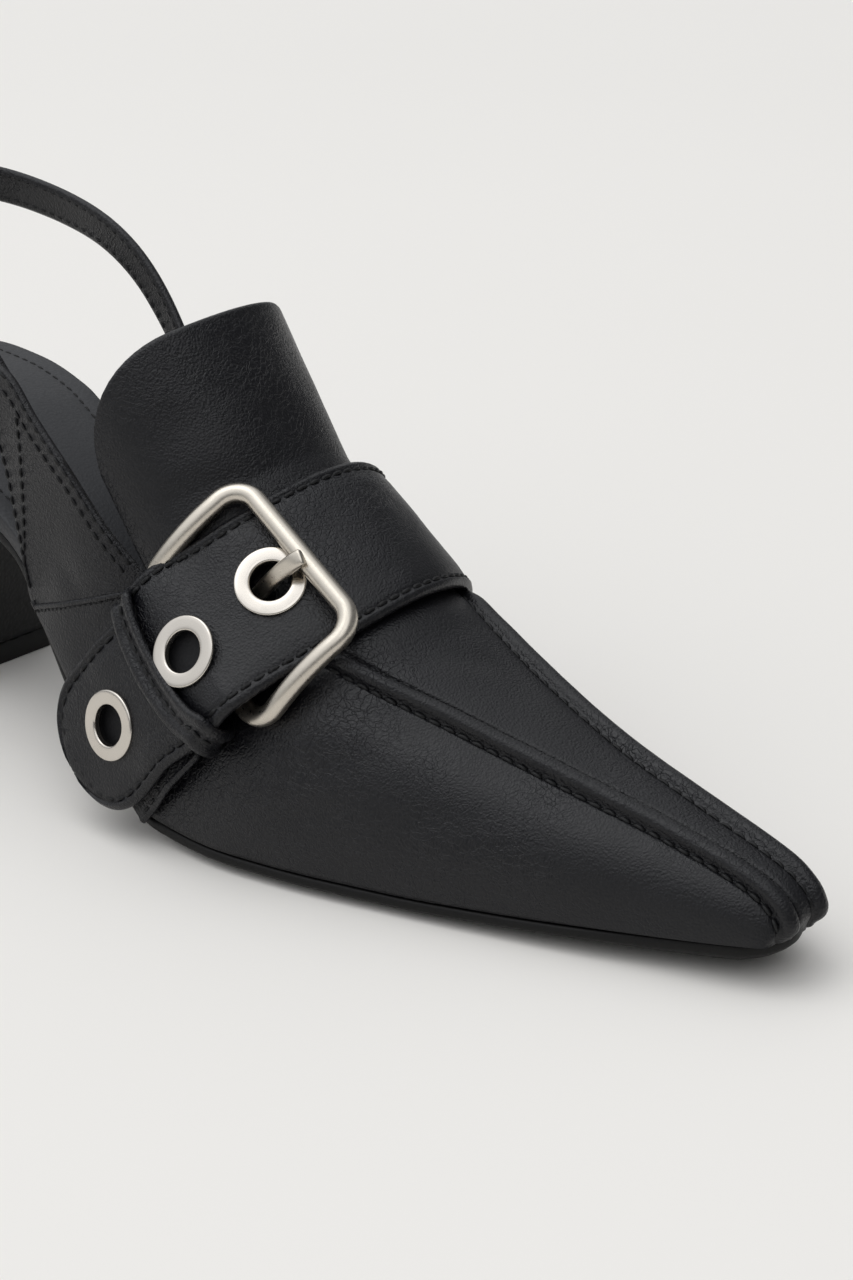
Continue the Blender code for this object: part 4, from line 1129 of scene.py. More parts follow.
def tail_height(along):
    """Height of the strap's under face over the upper."""
    return ease(TAIL["along"], TAIL["height"], along)


def strap_points(stations):
    """Middle of the strap's under face, with its side and outward directions."""
    points, sides, outs = smooth_frames(stations)
    path = points + tail_height(stations)[:, None] * outs
    onward = unit(np.gradient(path, axis=0))
    sides = unit(sides - onward * np.sum(sides * onward, axis=1)[:, None])
    outs_new = np.cross(onward, sides)
    outs_new *= np.sign(np.sum(outs_new * outs, axis=1))[:, None]
    return path, sides, unit(outs_new)


def strap_place(along, across):
    """Placing of a fitting on the strap's outer face; its own z axis points out."""
    stations = np.linspace(along - 1.0, along + 1.0, 5)
    path, sides, outs = strap_points(stations)
    onward = unit(np.cross(sides[2], outs[2]))
    return path[2] + across * sides[2] + STRAP_THICK * outs[2], np.array((onward, sides[2], outs[2]))


def band_section(width, thick, lip, groove):
    """Section of a leather band with turned edges and a stitch groove inside each; width by height."""
    reach = max(width / 2, 0.3)
    soft = min(BAND_ROUND * thick, 0.5 * reach)
    inner = (reach - soft) * np.concatenate((np.linspace(0, 0.6, 8)[:-1], np.linspace(0.6, 1, 18)))
    turn = np.linspace(0, math.pi / 2, 6)[1:]
    fall = (1 - np.cos(turn)) * BAND_ROUND * thick
    edge = np.stack((reach - soft + soft * np.sin(turn), thick - fall), axis=1)
    away = reach - inner
    sewn = groove * np.exp(-((away - lip) / BAND_GROOVE_WIDTH) ** 2)
    top = thick + BAND_SWELL * np.exp(-(away - 0.45 * lip) ** 2) - sewn
    top += BAND_SWELL * fade(away, lip + 0.7, lip + 3.5)
    right = np.concatenate((np.stack((inner, top), axis=1), edge))
    under = np.array(((reach - 0.1 * soft, 0.2 * thick), (reach - 0.6 * soft, 0.0), (0.5 * reach, 0.0)))
    right = np.concatenate((right, under))
    left = right[::-1] * np.array((-1.0, 1.0))
    return np.concatenate((right, ((0.0, 0.0),), left[:-1]))


def band(path, sides, outs, widths, thick, lip=BAND_LIP, groove=BAND_GROOVE):
    """Sections of a leather band along a path."""
    sections = []
    for middle, side, out, width in zip(path, sides, outs, widths):
        shape = band_section(width, thick, min(lip, 0.3 * width), groove)
        sections.append(middle + shape[:, :1] * side + shape[:, 1:] * out)
    return np.array(sections)


def strap_width(along):
    """Width of the strap, closing in a broad round at its tail."""
    ends = np.clip((TAIL_TIP + TAIL_ROUND - np.asarray(along)) / TAIL_ROUND, 0.0, 1.0)
    full = ease(SPREAD["along"], SPREAD["tongue"] + SPREAD["toe"], along)
    return full * (1 - ends ** TAIL_SQUARE) ** (1 / TAIL_SQUARE)


def strap_shift(along):
    """How far the middle between the strap's edges lies towards the toe."""
    return ease(SPREAD["along"], (SPREAD["toe"] - SPREAD["tongue"]) / 2, along)


def on_strap(alongs, acrosses, height):
    """Points and outward directions on the strap's outer face."""
    path, sides, outs = strap_points(np.asarray(alongs))
    return path + np.asarray(acrosses)[:, None] * sides + (STRAP_THICK + height) * outs, outs


def cut(piece, points, faces):
    """Takes one closed shape out of a piece for good."""
    cutter = stand("cutter", clean_mesh("cutter", points, faces))
    taken = piece.modifiers.new("taken", "BOOLEAN")
    taken.operation = "DIFFERENCE"
    taken.solver = "EXACT"
    taken.object = cutter
    bpy.context.view_layer.update()
    graph = bpy.context.evaluated_depsgraph_get()
    result = bpy.data.meshes.new_from_object(piece.evaluated_get(graph))
    piece.modifiers.clear()
    piece.data = result
    bpy.data.objects.remove(cutter, do_unlink=True)
    result.shade_smooth()
    result.set_sharp_from_angle(angle=math.radians(50))


def punch(strap, spot):
    """Punches one eyelet hole; only the prong's own goes right through, the others stop at the lining."""
    middle, axes = strap_place(*spot)
    hole = EYELET_BARREL + GAP
    turn = np.linspace(0, 2 * math.pi, 48, endpoint=False)
    floor = -PUNCH_THROUGH if spot == EYELETS_AT[0] else -PUNCH_BLIND * STRAP_THICK
    sections = []
    for height in (floor, PUNCH_THROUGH):
        ring = np.stack((hole * np.cos(turn), hole * np.sin(turn), np.full(len(turn), height)), axis=1)
        sections.append(middle + ring @ axes)
    cut(strap, *loft(sections))
    for face in strap.data.polygons:
        away = axes @ (np.array(face.center) / MM - ORIGIN - middle)
        if math.hypot(away[0], away[1]) < hole + 0.1 and away[2] < -0.25:
            face.material_index = 1


def make_strap(looks):
    """Wide instep strap with its turned edges, punched holes and edge stitches."""
    length = float(strap_line()[1][-1])
    tip = TAIL_TIP + TAIL_ROUND * (1 - np.cos(np.linspace(0.03, 1.0, 26) * math.pi / 2))
    body = np.linspace(TAIL_TIP + TAIL_ROUND, length - STRAP_END, 130)[1:]
    stations = np.concatenate((tip, body))
    path, sides, outs = strap_points(stations)
    middles = path + strap_shift(stations)[:, None] * sides
    sections = band(middles, sides, outs, strap_width(stations), STRAP_THICK)
    points, faces = loft(sections)
    points = points + give(points, STRAP_WAVES)[:, None] * np.repeat(outs, sections.shape[1], axis=0)
    surfaces = [looks["leather"], looks["lining"]]
    strap = new_object("instep_strap", points, faces, surfaces, "upper_leather", ["strap"])
    for spot in EYELETS_AT:
        punch(strap, spot)
    line = np.concatenate((tip, np.linspace(TAIL_TIP + TAIL_ROUND, length - 2 * STRAP_END, 160)[1:]))
    outer = np.stack((line, strap_width(line) / 2), axis=1)
    loop = np.concatenate((outer[::-1], outer * np.array((1.0, -1.0))))
    ahead = unit(np.gradient(loop, axis=0))
    inset = loop + BAND_LIP * np.stack((-ahead[:, 1], ahead[:, 0]), axis=1)
    run = on_strap(inset[:, 0], inset[:, 1] + strap_shift(inset[:, 0]), -STRAP_SEAM_DEPTH)
    make_thread("strap_stitches", [run], looks)


def make_eyelets(looks):
    """Three rolled eyelets with a broad polished flange."""
    r = EYELET_RADIUS
    h = EYELET_HOLE
    profile = (
        (h + 0.1, -0.7), (EYELET_BARREL, -0.7), (EYELET_BARREL, 0.1),
        (r - 0.2, 0.1), (r - 0.05, 0.18), (r, 0.3), (r, 0.6), (r - 0.06, 0.75), (r - 0.18, 0.85),
        (r - 0.36, 0.9), (r - 0.9, 0.92), (h + 0.9, 0.92), (h + 0.4, 0.9), (h + 0.2, 0.85),
        (h + 0.07, 0.73), (h, 0.5), (h, -0.3),
    )
    for number, spot in enumerate(EYELETS_AT, 1):
        middle, axes = strap_place(*spot)
        sections = []
        for angle in np.linspace(0, 2 * math.pi, 96, endpoint=False):
            ring = [(a * math.cos(angle), a * math.sin(angle), b) for a, b in profile]
            sections.append(middle + np.array(ring) @ axes)
        name = "eyelet_%d" % number
        shape = loft(sections, closed=True)
        new_object("rolled_" + name, *shape, [looks["eyelet"]], "eyelet_metal", [name])


def tube(path, radius, closed, sides, up, flat=1.0, power=2.2):
    """Sections of a wire along a path; flat widens it along the up direction, power squares it."""
    path = np.asarray(path, dtype=float)
    if closed:
        ahead = unit(np.roll(path, -1, axis=0) - np.roll(path, 1, axis=0))
    else:
        ahead = unit(np.gradient(path, axis=0))
    radii = np.broadcast_to(np.asarray(radius, dtype=float), (len(path),))
    sections = []
    for point, direction, size in zip(path, ahead, radii):
        across = unit(np.cross(up, direction))
        over = np.cross(direction, across)
        turn = np.linspace(0, 2 * math.pi, sides, endpoint=False)
        square = (np.abs(np.cos(turn)) ** power + np.abs(np.sin(turn)) ** power) ** (-1 / power)
        ring = (square * np.cos(turn))[:, None] * across + (flat * square * np.sin(turn))[:, None] * over
        sections.append(point + size * ring)
    return np.array(sections)


def bar_places():
    """Middles of the buckle's hinge bar and front bar with the frame's directions."""
    hinge, _, side_a, out_a = strap_frame(HINGE_AT)
    front, _, side_b, out_b = strap_frame(FRONT_BAR_AT)
    hinge = hinge + HINGE_HEIGHT * out_a
    front = front + FRONT_BAR_HEIGHT * out_b
    across = unit(front - hinge)
    side = unit(unit(HINGE_LEAN * side_a + side_b) + FRAME_ROLL * out_a)
    side = unit(side - across * (side @ across))
    out = unit(np.cross(across, side))
    if out @ out_a < 0:
        out = -out
    return hinge, front, unit(across - FRAME_TILT * side), unit(side + FRAME_TILT * across), out


def frame_outline(half_u, half_v):
    """Flat rectangle with round corners, as the middle line of the frame's wire."""
    flat = []
    for sign_u, sign_v, start in ((1, 1, 0), (-1, 1, 90), (-1, -1, 180), (1, -1, 270)):
        middle = np.array((sign_u * (half_u - FRAME_CORNER), sign_v * (half_v - FRAME_CORNER)))
        for angle in np.radians(start + np.linspace(0, 90, 16)):
            flat.append(middle + FRAME_CORNER * np.array((math.cos(angle), math.sin(angle))))
        steps = np.linspace(1, -1, 22)[1:-1]
        if sign_u * sign_v > 0:
            flat += [np.array((u, sign_v * half_v)) for u in steps * (half_u - FRAME_CORNER) * sign_u]
        else:
            flat += [np.array((sign_u * half_u, v)) for v in steps * (half_v - FRAME_CORNER) * sign_v]
    return flat


def make_buckle(looks):
    """Cast rectangular frame with rounded corners and the prong resting on it."""
    hinge, front, across, side, out = bar_places()
    centre = (hinge + front) / 2 + FRAME_SHIFT * side
    half_u = np.linalg.norm(front - hinge) / 2
    path = []
    for u, v in frame_outline(half_u, FRAME_HEIGHT / 2):
        arch = FRAME_ARCH * (1 - (u / half_u) ** 2)
        share = (1 + u / half_u) / 2
        settle = share * (FRAME_SETTLE[0] * across + FRAME_SETTLE[1] * out)
        path.append(centre + u * across + v * side + arch * out + settle)
    shape = loft(tube(path, WIRE + PLATING, True, 32, out), closed=True)
    new_object("cast_frame", *shape, [looks["nickel"]], "buckle_metal", ["buckle_frame"])
    eye = WIRE + PRONG_EYE_GAP + PRONG_EYE
    knots = []
    for angle in np.radians(np.linspace(*PRONG_EYE_TURN, 12)):
        knots.append((*(hinge + eye * (math.cos(angle) * across + math.sin(angle) * out)), PRONG_EYE))
    for part, lift, aside, radius in PRONG_LINE:
        knots.append((*(hinge + (front - hinge) * part + lift * out + aside * side), radius))
    knots = np.array(knots)
    run = run_length(knots[:, :3])
    tip = run[-1] - PRONG_TIP * np.linspace(1, 0, 10)[1:] ** 2
    fine = np.concatenate((np.linspace(0, run[-1] - PRONG_TIP, 120), tip))
    wire = np.stack([ease(run, knots[:, k], fine) for k in range(4)], axis=1)
    close = np.clip((run[-1] - fine) / PRONG_BEVEL, 0.0, 1.0)
    radii = wire[:, 3] - PRONG_BEVEL_DEPTH * (1 - np.sqrt(1 - (1 - close) ** 2))
    shape = loft(tube(wire[:, :3], PRONG_THIN * radii, False, 32, side, PRONG_FLAT, PRONG_SQUARE))
    prong = new_object("buckle_prong", *shape, [looks["nickel"]], "buckle_metal", ["prong"])
    prong.data.set_sharp_from_angle(angle=math.radians(40))


def chape_height(along):
    """Height of the chape over the upper."""
    return CHAPE_FOOT + CHAPE_RISE * fade(along, *CHAPE_RISES)


def make_chape(looks):
    """Tab from the outer sole edge, rolled round the buckle's hinge bar, with its edge stitches."""
    hinge, _, across, side, out = bar_places()
    stations = np.linspace(*CHAPE_SPAN, 50)
    points, sides, outs = smooth_frames(stations)
    narrow = fade(stations, *CHAPE_NARROWS)
    shift = CHAPE_SHIFT * (1 - narrow)
    path = points + chape_height(stations)[:, None] * outs + shift[:, None] * sides
    widths = CHAPE_WIDTH + (ROLL_WIDTH - CHAPE_WIDTH) * narrow
    sections = list(band(path, sides, outs, widths, CHAPE_THICK, CHAPE_LIP, CHAPE_GROOVE))
    for angle in np.radians(np.linspace(*ROLL_TURN, 40)):
        direction = math.cos(angle) * across + math.sin(angle) * out
        outside = [hinge + (WIRE + ROLL_GAP + ROLL_THICK) * direction]
        sections.append(band(outside, [side], [-direction], [ROLL_WIDTH], ROLL_THICK, BAND_LIP, 0.0)[0])
    chape = new_object("buckle_chape", *loft(sections), [looks["leather"]], "upper_leather", ["chape"])
    corners = []
    for height in (-SLOT_REACH, SLOT_REACH):
        ring = []
        for u, v in ((-SLOT_REACH, -1), (SLOT_REACH, -1), (SLOT_REACH, 1), (-SLOT_REACH, 1)):
            ring.append(hinge + (SLOT_SHIFT + u) * across + v * PRONG_SLOT / 2 * side + height * out)
        corners.append(ring)
    cut(chape, *loft(corners))
    steps = np.linspace(*CHAPE_SEWN, 30)
    points, sides, outs = smooth_frames(steps)
    top = points + (chape_height(steps) + CHAPE_THICK - 0.05)[:, None] * outs
    reach = CHAPE_WIDTH / 2 - CHAPE_LIP
    runs = [(top + (CHAPE_SHIFT + edge) * sides, outs) for edge in (-reach, reach)]
    make_thread("chape_stitches", runs, looks, **CHAPE_THREAD)


def keeper_line(part, place):
    """Station of the keeper at a part of its half length and a place across its width, with heights."""
    across = KEEPER_SHIFT + part * KEEPER_HALF
    along = np.array((KEEPER_AT + KEEPER_SLANT * across + KEEPER_BOW * part ** 2 + place * KEEPER_WIDTH,))
    low = float(chape_height(along)[0]) - KEEPER_SINK + KEEPER_RISE * float(fade(-part, 0.5, 1.0))
    high = float(tail_height(along)[0]) + STRAP_THICK + KEEPER_LIFT
    return across, [value[0] for value in smooth_frames(along)], low, high


def keeper_bend(place, layer, angles, centre):
    """Points round one end of the keeper's loop at a place across its width, on one of its layers."""
    across, (point, side, out), low, high = keeper_line(centre, place)
    bend = KEEPER_ROUND * (high - low)
    grow = layer * KEEPER_THICK
    line = []
    for angle in angles:
        away = across - centre * bend + (bend + grow) * math.cos(angle)
        height = (low + high) / 2 + ((high - low) / 2 + grow) * math.sin(angle)
        line.append(point + away * side + height * out)
    return line


def keeper_run(place, layer, parts, over):
    """Points along the keeper's upper or lower run at a place across its width, on one of its layers."""
    line = []
    for part in parts:
        across, (point, side, out), low, high = keeper_line(part, place)
        height = high + layer * KEEPER_THICK if over else low - layer * KEEPER_THICK
        line.append(point + across * side + height * out)
    return line


def make_keeper(looks):
    """Bowed loop of folded leather round the chape and the tail: two rolled edges, a stitched middle."""
    shape = KEEPER_FOLD + tuple((-place, layer) for place, layer in KEEPER_FOLD[:0:-1])
    first = np.radians(-90 + np.linspace(0, 180, 26))
    parts = np.linspace(KEEPER_RUN, -KEEPER_RUN, 28)
    lines = []
    for place, layer in shape:
        right = keeper_bend(place, layer, first, 1.0)
        left = keeper_bend(place, layer, first + math.pi, -1.0)
        over = keeper_run(place, layer, parts, True)
        under = keeper_run(place, layer, parts[::-2], False)
        lines.append(right + over + left + under)
    sections = np.swapaxes(np.array(lines), 0, 1)
    for _ in range(KEEPER_EASE):
        sections = (np.roll(sections, 1, axis=0) + 2 * sections + np.roll(sections, -1, axis=0)) / 4
    shape = loft(sections, closed=True)
    new_object("strap_keeper", *shape, [looks["leather"]], "upper_leather", ["keeper"])
    right = keeper_bend(0.0, KEEPER_SEAM, np.radians((10, 30, 50, 70, 85)), 1.0)
    left = keeper_bend(0.0, KEEPER_SEAM, np.radians((95, 110, 130, 150)), -1.0)
    path = np.array(right + keeper_run(0.0, KEEPER_SEAM, parts, True) + left)
    _, sides, outs = smooth_frames(np.array((KEEPER_AT,)))
    lean = np.repeat(outs, len(path), axis=0)
    lean[:4] = unit(lean[:4] + np.array((2.4, 1.2, 0.7, 0.3))[:, None] * sides)
    lean[-3:] = unit(lean[-3:] - np.array((0.3, 0.7, 1.2))[:, None] * sides)
    make_thread("keeper_stitches", [(path, lean)], looks, **KEEPER_THREAD)


def sling_path(steps):
    """Middle line of the sling's inner face with its upward and outward directions."""
    at = np.arange(len(SLING_ROWS), dtype=float)
    fine = np.linspace(0, at[-1], steps)
    x, z, outer, inner = (ease(at, SLING[name], fine) for name in SLING_COLUMNS)
    path = np.concatenate((np.stack((x, -outer, z), axis=1), np.stack((x, inner, z), axis=1)[-2::-1]))
    for _ in range(SLING_EASE):
        path[1:-1] = (path[:-2] + 2 * path[1:-1] + path[2:]) / 4
    ahead = unit(np.gradient(path, axis=0))
    level = unit(np.cross(ahead, np.array((0.0, 0.0, 1.0))))
    out = level * np.sign(np.sum((path - SLING_CENTRE) * level, axis=1))[:, None]
    up = unit(np.cross(out, ahead))
    up *= np.sign(up[:, 2:3])
    return path, unit(up - SLING_LEAN * out), out


def make_sling(looks):
    """Narrow strap round the back of the heel, stitched along both edges."""
    path, up, out = sling_path(90)
    widths = np.full(len(path), SLING_WIDTH)
    sections = band(path, up, out, widths, SLING_THICK, SLING_LIP, SLING_GROOVE)
    new_object("heel_sling", *loft(sections), [looks["leather"]], "upper_leather", ["sling_strap"])
    sewn = slice(SLING_BARE, -SLING_BARE)
    runs = []
    for across in (-1.0, 1.0):
        line = path + across * (SLING_WIDTH / 2 - SLING_LIP) * up
        runs.append(((line + (SLING_THICK - 0.04) * out)[sewn], out[sewn]))
        runs.append((line[sewn], -out[sewn]))
    make_thread("sling_stitches", runs, looks, **SLING_THREAD)


def make_insole_thread(looks):
    """Stitched border of the footbed, inside its bound rim."""
    halves = footbed_ring(-INSOLE_SEAM, INSOLE_SEAM_LEVEL)
    seen = halves[0][:, 0] < INSOLE_SEAM_END
    up = np.tile((0.0, 0.0, 1.0), (int(seen.sum()), 1))
    make_thread("footbed_stitches", [(half[seen], up) for half in halves], looks, **FOOTBED_THREAD)


def make_rear_seam(looks):
    """Turned edge where the vamp laps over each quarter, with its row of stitches."""
    t = np.linspace(0.02, 0.98, 161)
    turn = np.linspace(0, 2 * math.pi, 14, endpoint=False)[:, None]
    wide, high = LAP_EDGE
    edges = []
    runs = []
    for side, last_row in LAP_ROWS.items():
        path = []
        normals = []
        lower = []
        for row in np.linspace(0.0, last_row, 60):
            line = quarter_points(row, t, side)
            want = LAP_HEIGHT + LAP_SLOPE * (line[:, 0] - LAP_AT)
            k = int(np.argmin(np.abs(line[:, 2] - want)))
            normal = quarter_normal(row + NEXT_ROW, t, side, line, k)
            spot = line[k] - slack(line[k:k + 1])[0] * normal
            path.append(spot)
            normals.append(normal)
            lower.append(spot + LAP_SEAM * unit(line[max(k - 6, 0)] - line[k]))
        normals = np.array(normals)
        across = unit(np.cross(normals, unit(np.gradient(np.array(path), axis=0))))
        sections = []
        for spot, normal, aside in zip(path, normals, across):
            sections.append(spot + wide * np.cos(turn) * aside + high * np.sin(turn) * normal)
        edges.append(loft(sections))
        runs.append((np.array(lower), normals))
    new_object("vamp_turned_edge", *joined(edges), [looks["leather"]], "upper_leather")
    make_thread("vamp_edge_stitches", runs, looks, **LAP_THREAD)


def linear(hexed):
    """Linear colour with full alpha from an sRGB hex value."""
    parts = [int(hexed[i:i + 2], 16) / 255 for i in (1, 3, 5)]
    return tuple(c / 12.92 if c <= 0.04045 else ((c + 0.055) / 1.055) ** 2.4 for c in parts) + (1.0,)


def add(tree, kind, inputs=None, **settings):
    """New node with its settings, and its inputs set to values or linked from other sockets."""
    made = tree.nodes.new(kind)
    for name, value in settings.items():
        setattr(made, name, value)
    for name, value in (inputs or {}).items():
        if isinstance(value, bpy.types.NodeSocket):
            tree.links.new(value, made.inputs[name])
        else:
            made.inputs[name].default_value = value
    return made


def blank(name):
    """Empty material with its shader and the place on the piece in metres."""
    made = bpy.data.materials.new(name)
    made.use_nodes = True
    tree = made.node_tree
    shader = tree.nodes["Principled BSDF"]
    place = add(tree, "ShaderNodeTexCoord").outputs["Object"]
    return made, tree, shader, place


# Sizes of the patterns in the materials, in millimetres. Calf grain is really about 0.2 mm, its crackle
# about 1 mm and the twist of the thread under 1 mm: all three are drawn coarser so that they show.
TURNS_MM = 5.0
GRAIN_SWAY_MM = 1.6
PORE_MM = 0.35
PORE_DEPTH = 0.35
CRACKLE_MM = 1.6
CRACKLE_SWAY_MM = 7.0
CRACKLE_EDGE = 0.09
PATCH_MM = 26.0
TWIST_MM = 4.0
STRAND_MM = 0.08
CLOUD_MM = 9.0
DUST_MM = 2.0
DUST_DEPTH_MM = 0.05
MOTTLE_MM = 400.0


def leather_finish(name, dark, light, rough, grain_mm, depth_mm, wrinkle, gloss):
    """Dyed leather: pebbled grain with pores, crackle in patches, and a satin film on top."""
    made, tree, shader, place = blank(name)
    bend = add(tree, "ShaderNodeTexNoise", {"Vector": place, "Scale": 1 / (TURNS_MM * MM), "Detail": 3.0})
    shift = add(
        tree, "ShaderNodeVectorMath", {0: bend.outputs["Color"], 1: (0.5, 0.5, 0.5)}, operation="SUBTRACT",
    )
    small = add(
        tree, "ShaderNodeVectorMath", {0: shift.outputs[0], "Scale": GRAIN_SWAY_MM * MM}, operation="SCALE",
    )
    bent = add(tree, "ShaderNodeVectorMath", {0: place, 1: small.outputs[0]}, operation="ADD")
    pebble = add(
        tree, "ShaderNodeTexVoronoi", {"Vector": bent.outputs[0], "Scale": 1 / (grain_mm * MM)},
        feature="SMOOTH_F1",
    )
    pore = add(tree, "ShaderNodeTexNoise", {"Vector": place, "Scale": 1 / (PORE_MM * MM), "Detail": 2.0})
    wide = add(
        tree, "ShaderNodeVectorMath", {0: shift.outputs[0], "Scale": CRACKLE_SWAY_MM * MM}, operation="SCALE",
    )
    far = add(tree, "ShaderNodeVectorMath", {0: place, 1: wide.outputs[0]}, operation="ADD")
    fold = add(
        tree, "ShaderNodeTexVoronoi", {"Vector": far.outputs[0], "Scale": 1 / (CRACKLE_MM * MM)},
        feature="DISTANCE_TO_EDGE",
    )
    trough = add(
        tree, "ShaderNodeMapRange",
        {"Value": fold.outputs["Distance"], "From Min": 0.0, "From Max": CRACKLE_EDGE},
        interpolation_type="SMOOTHSTEP",
    )
    patch = add(tree, "ShaderNodeTexNoise", {"Vector": place, "Scale": 1 / (PATCH_MM * MM), "Detail": 2.0})
    where = add(
        tree, "ShaderNodeMapRange",
        {"Value": patch.outputs["Fac"], "From Min": 0.38, "From Max": 0.62, "To Min": 0.0, "To Max": wrinkle},
    )
    grain = add(tree, "ShaderNodeMath", {0: pebble.outputs["Distance"], 1: -1.0}, operation="MULTIPLY")
    fine = add(
        tree, "ShaderNodeMath", {0: pore.outputs["Fac"], 1: PORE_DEPTH, 2: grain.outputs[0]},
        operation="MULTIPLY_ADD",
    )
    worn = add(
        tree, "ShaderNodeMath", {0: trough.outputs[0], 1: where.outputs[0], 2: fine.outputs[0]},
        operation="MULTIPLY_ADD",
    )
    relief = add(
        tree, "ShaderNodeBump", {"Strength": 1.0, "Distance": depth_mm * MM, "Height": worn.outputs[0]},
    )
    tone = add(
        tree, "ShaderNodeMix", {"Factor": patch.outputs["Fac"], 6: linear(dark), 7: linear(light)},
        data_type="RGBA",
    )
    satin = add(
        tree, "ShaderNodeMapRange",
        {
            "Value": worn.outputs[0], "From Min": -0.5, "From Max": 0.4,
            "To Min": rough + 0.1, "To Max": rough - 0.06,
        },
    )
    tree.links.new(tone.outputs[2], shader.inputs["Base Color"])
    tree.links.new(satin.outputs[0], shader.inputs["Roughness"])
    tree.links.new(relief.outputs[0], shader.inputs["Normal"])
    shader.inputs["IOR"].default_value = 1.5
    shader.inputs["Specular IOR Level"].default_value = gloss
    return made


def thread_finish():
    """Bonded polyester thread: twisted strands, dull black, the twist drawn coarse so that it shows."""
    made, tree, shader, place = blank("bonded_thread")
    twist = add(
        tree, "ShaderNodeTexWave", {"Vector": place, "Scale": 1 / (TWIST_MM * MM), "Distortion": 2.0},
        bands_direction="DIAGONAL",
    )
    tone = add(
        tree, "ShaderNodeMix", {"Factor": twist.outputs["Fac"], 6: linear("#0d0d0e"), 7: linear("#1a1a1b")},
        data_type="RGBA",
    )
    relief = add(tree, "ShaderNodeBump", {"Distance": STRAND_MM * MM, "Height": twist.outputs["Fac"]})
    tree.links.new(tone.outputs[2], shader.inputs["Base Color"])
    tree.links.new(relief.outputs[0], shader.inputs["Normal"])
    shader.inputs["Roughness"].default_value = 0.5
    shader.inputs["Specular IOR Level"].default_value = 0.25
    return made


def metal_finish(name, dark, light, rough, brush_mm, scratch_mm):
    """Nickel plate: a warm pale metal with slow clouds of tone and fine scratches without direction."""
    made, tree, shader, place = blank(name)
    rub = add(tree, "ShaderNodeTexNoise", {"Vector": place, "Scale": 1 / (brush_mm * MM), "Detail": 4.0})
    cloud = add(tree, "ShaderNodeTexNoise", {"Vector": place, "Scale": 1 / (CLOUD_MM * MM), "Detail": 2.0})
    tone = add(
        tree, "ShaderNodeMix", {"Factor": cloud.outputs["Fac"], 6: linear(dark), 7: linear(light)},
        data_type="RGBA",
    )
    shine = add(
        tree, "ShaderNodeMapRange",
        {
            "Value": rub.outputs["Fac"], "From Min": 0.3, "From Max": 0.7,
            "To Min": rough - 0.04, "To Max": rough + 0.06,
        },
    )
    relief = add(tree, "ShaderNodeBump", {"Distance": scratch_mm * MM, "Height": rub.outputs["Fac"]})
    tree.links.new(tone.outputs[2], shader.inputs["Base Color"])
    tree.links.new(shine.outputs[0], shader.inputs["Roughness"])
    tree.links.new(relief.outputs[0], shader.inputs["Normal"])
    shader.inputs["Metallic"].default_value = 1.0
    return made


def rubber_finish():
    """Moulded rubber of the heel lift: dull, slightly dusty black."""
    made, tree, shader, place = blank("moulded_rubber")
    dust = add(tree, "ShaderNodeTexNoise", {"Vector": place, "Scale": 1 / (DUST_MM * MM), "Detail": 5.0})
    tone = add(
        tree, "ShaderNodeMix", {"Factor": dust.outputs["Fac"], 6: linear("#0b0b0b"), 7: linear("#191918")},
        data_type="RGBA",
    )
    relief = add(tree, "ShaderNodeBump", {"Distance": DUST_DEPTH_MM * MM, "Height": dust.outputs["Fac"]})
    tree.links.new(tone.outputs[2], shader.inputs["Base Color"])
    tree.links.new(relief.outputs[0], shader.inputs["Normal"])
    shader.inputs["Roughness"].default_value = 0.62
    shader.inputs["IOR"].default_value = 1.52
    shader.inputs["Specular IOR Level"].default_value = 0.35
    return made


def paper_floor():
    """Pale seamless studio paper under the shoe: matt, with a slow mottle."""
    made, tree, shader, place = blank("studio_paper")
    mottle = add(tree, "ShaderNodeTexNoise", {"Vector": place, "Scale": 1 / (MOTTLE_MM * MM), "Detail": 2.0})
    tone = add(
        tree, "ShaderNodeMix", {"Factor": mottle.outputs["Fac"], 6: linear("#eeebe6"), 7: linear("#f2efea")},
        data_type="RGBA",
    )
    tree.links.new(tone.outputs[2], shader.inputs["Base Color"])
    shader.inputs["Roughness"].default_value = 0.85
    shader.inputs["Specular IOR Level"].default_value = 0.1
    mesh = bpy.data.meshes.new("studio_floor")
    build = bmesh.new()
    bmesh.ops.create_grid(build, x_segments=8, y_segments=8, size=FLOOR_HALF)
    build.to_mesh(mesh)
    build.free()
    mesh.materials.append(made)
    stand("studio_floor", mesh)


# Half size of the floor in metres
FLOOR_HALF = 6.0

# Camera fitted to the photograph: its place in the drawing, its axes and its focal length in pixels
CAMERA_AT = np.array((522.467, -396.707, 262.503))
CAMERA_AXES = np.array((
    (0.7504498, 0.6609274, 0.0),
    (-0.2548168, 0.2893650, 0.9226789),
    (0.6098307, -0.6924181, 0.3855693),
))
FOCAL_PIXELS = 2962.57
LONG_SIDE = 1280
SENSOR = 36.0


def set_camera():
    """Camera at the photograph's place, with the sensor along the picture's long side."""
    data = bpy.data.cameras.new("studio_camera")
    data.sensor_width = SENSOR
    data.sensor_fit = "AUTO"
    data.lens = FOCAL_PIXELS * SENSOR / LONG_SIDE
    data.clip_start = 0.01
    data.clip_end = 50.0
    place = Matrix.Identity(4)
    at = (CAMERA_AT + ORIGIN) * MM
    for i in range(3):
        for column in range(3):
            place[i][column] = CAMERA_AXES[column][i]
        place[i][3] = at[i]
    camera = stand("studio_camera", data)
    camera.matrix_world = place
    bpy.context.scene.camera = camera


def add_panel(name, at, size, power):
    """Rectangular soft white light that faces the shoe, in metres and watts."""
    data = bpy.data.lights.new(name, "AREA")
    data.shape = "RECTANGLE"
    data.size, data.size_y = size
    data.energy = power
    lamp = stand(name, data)
    lamp.location = at
    lamp.rotation_euler = (-Vector(at)).to_track_quat("-Z", "Y").to_euler()


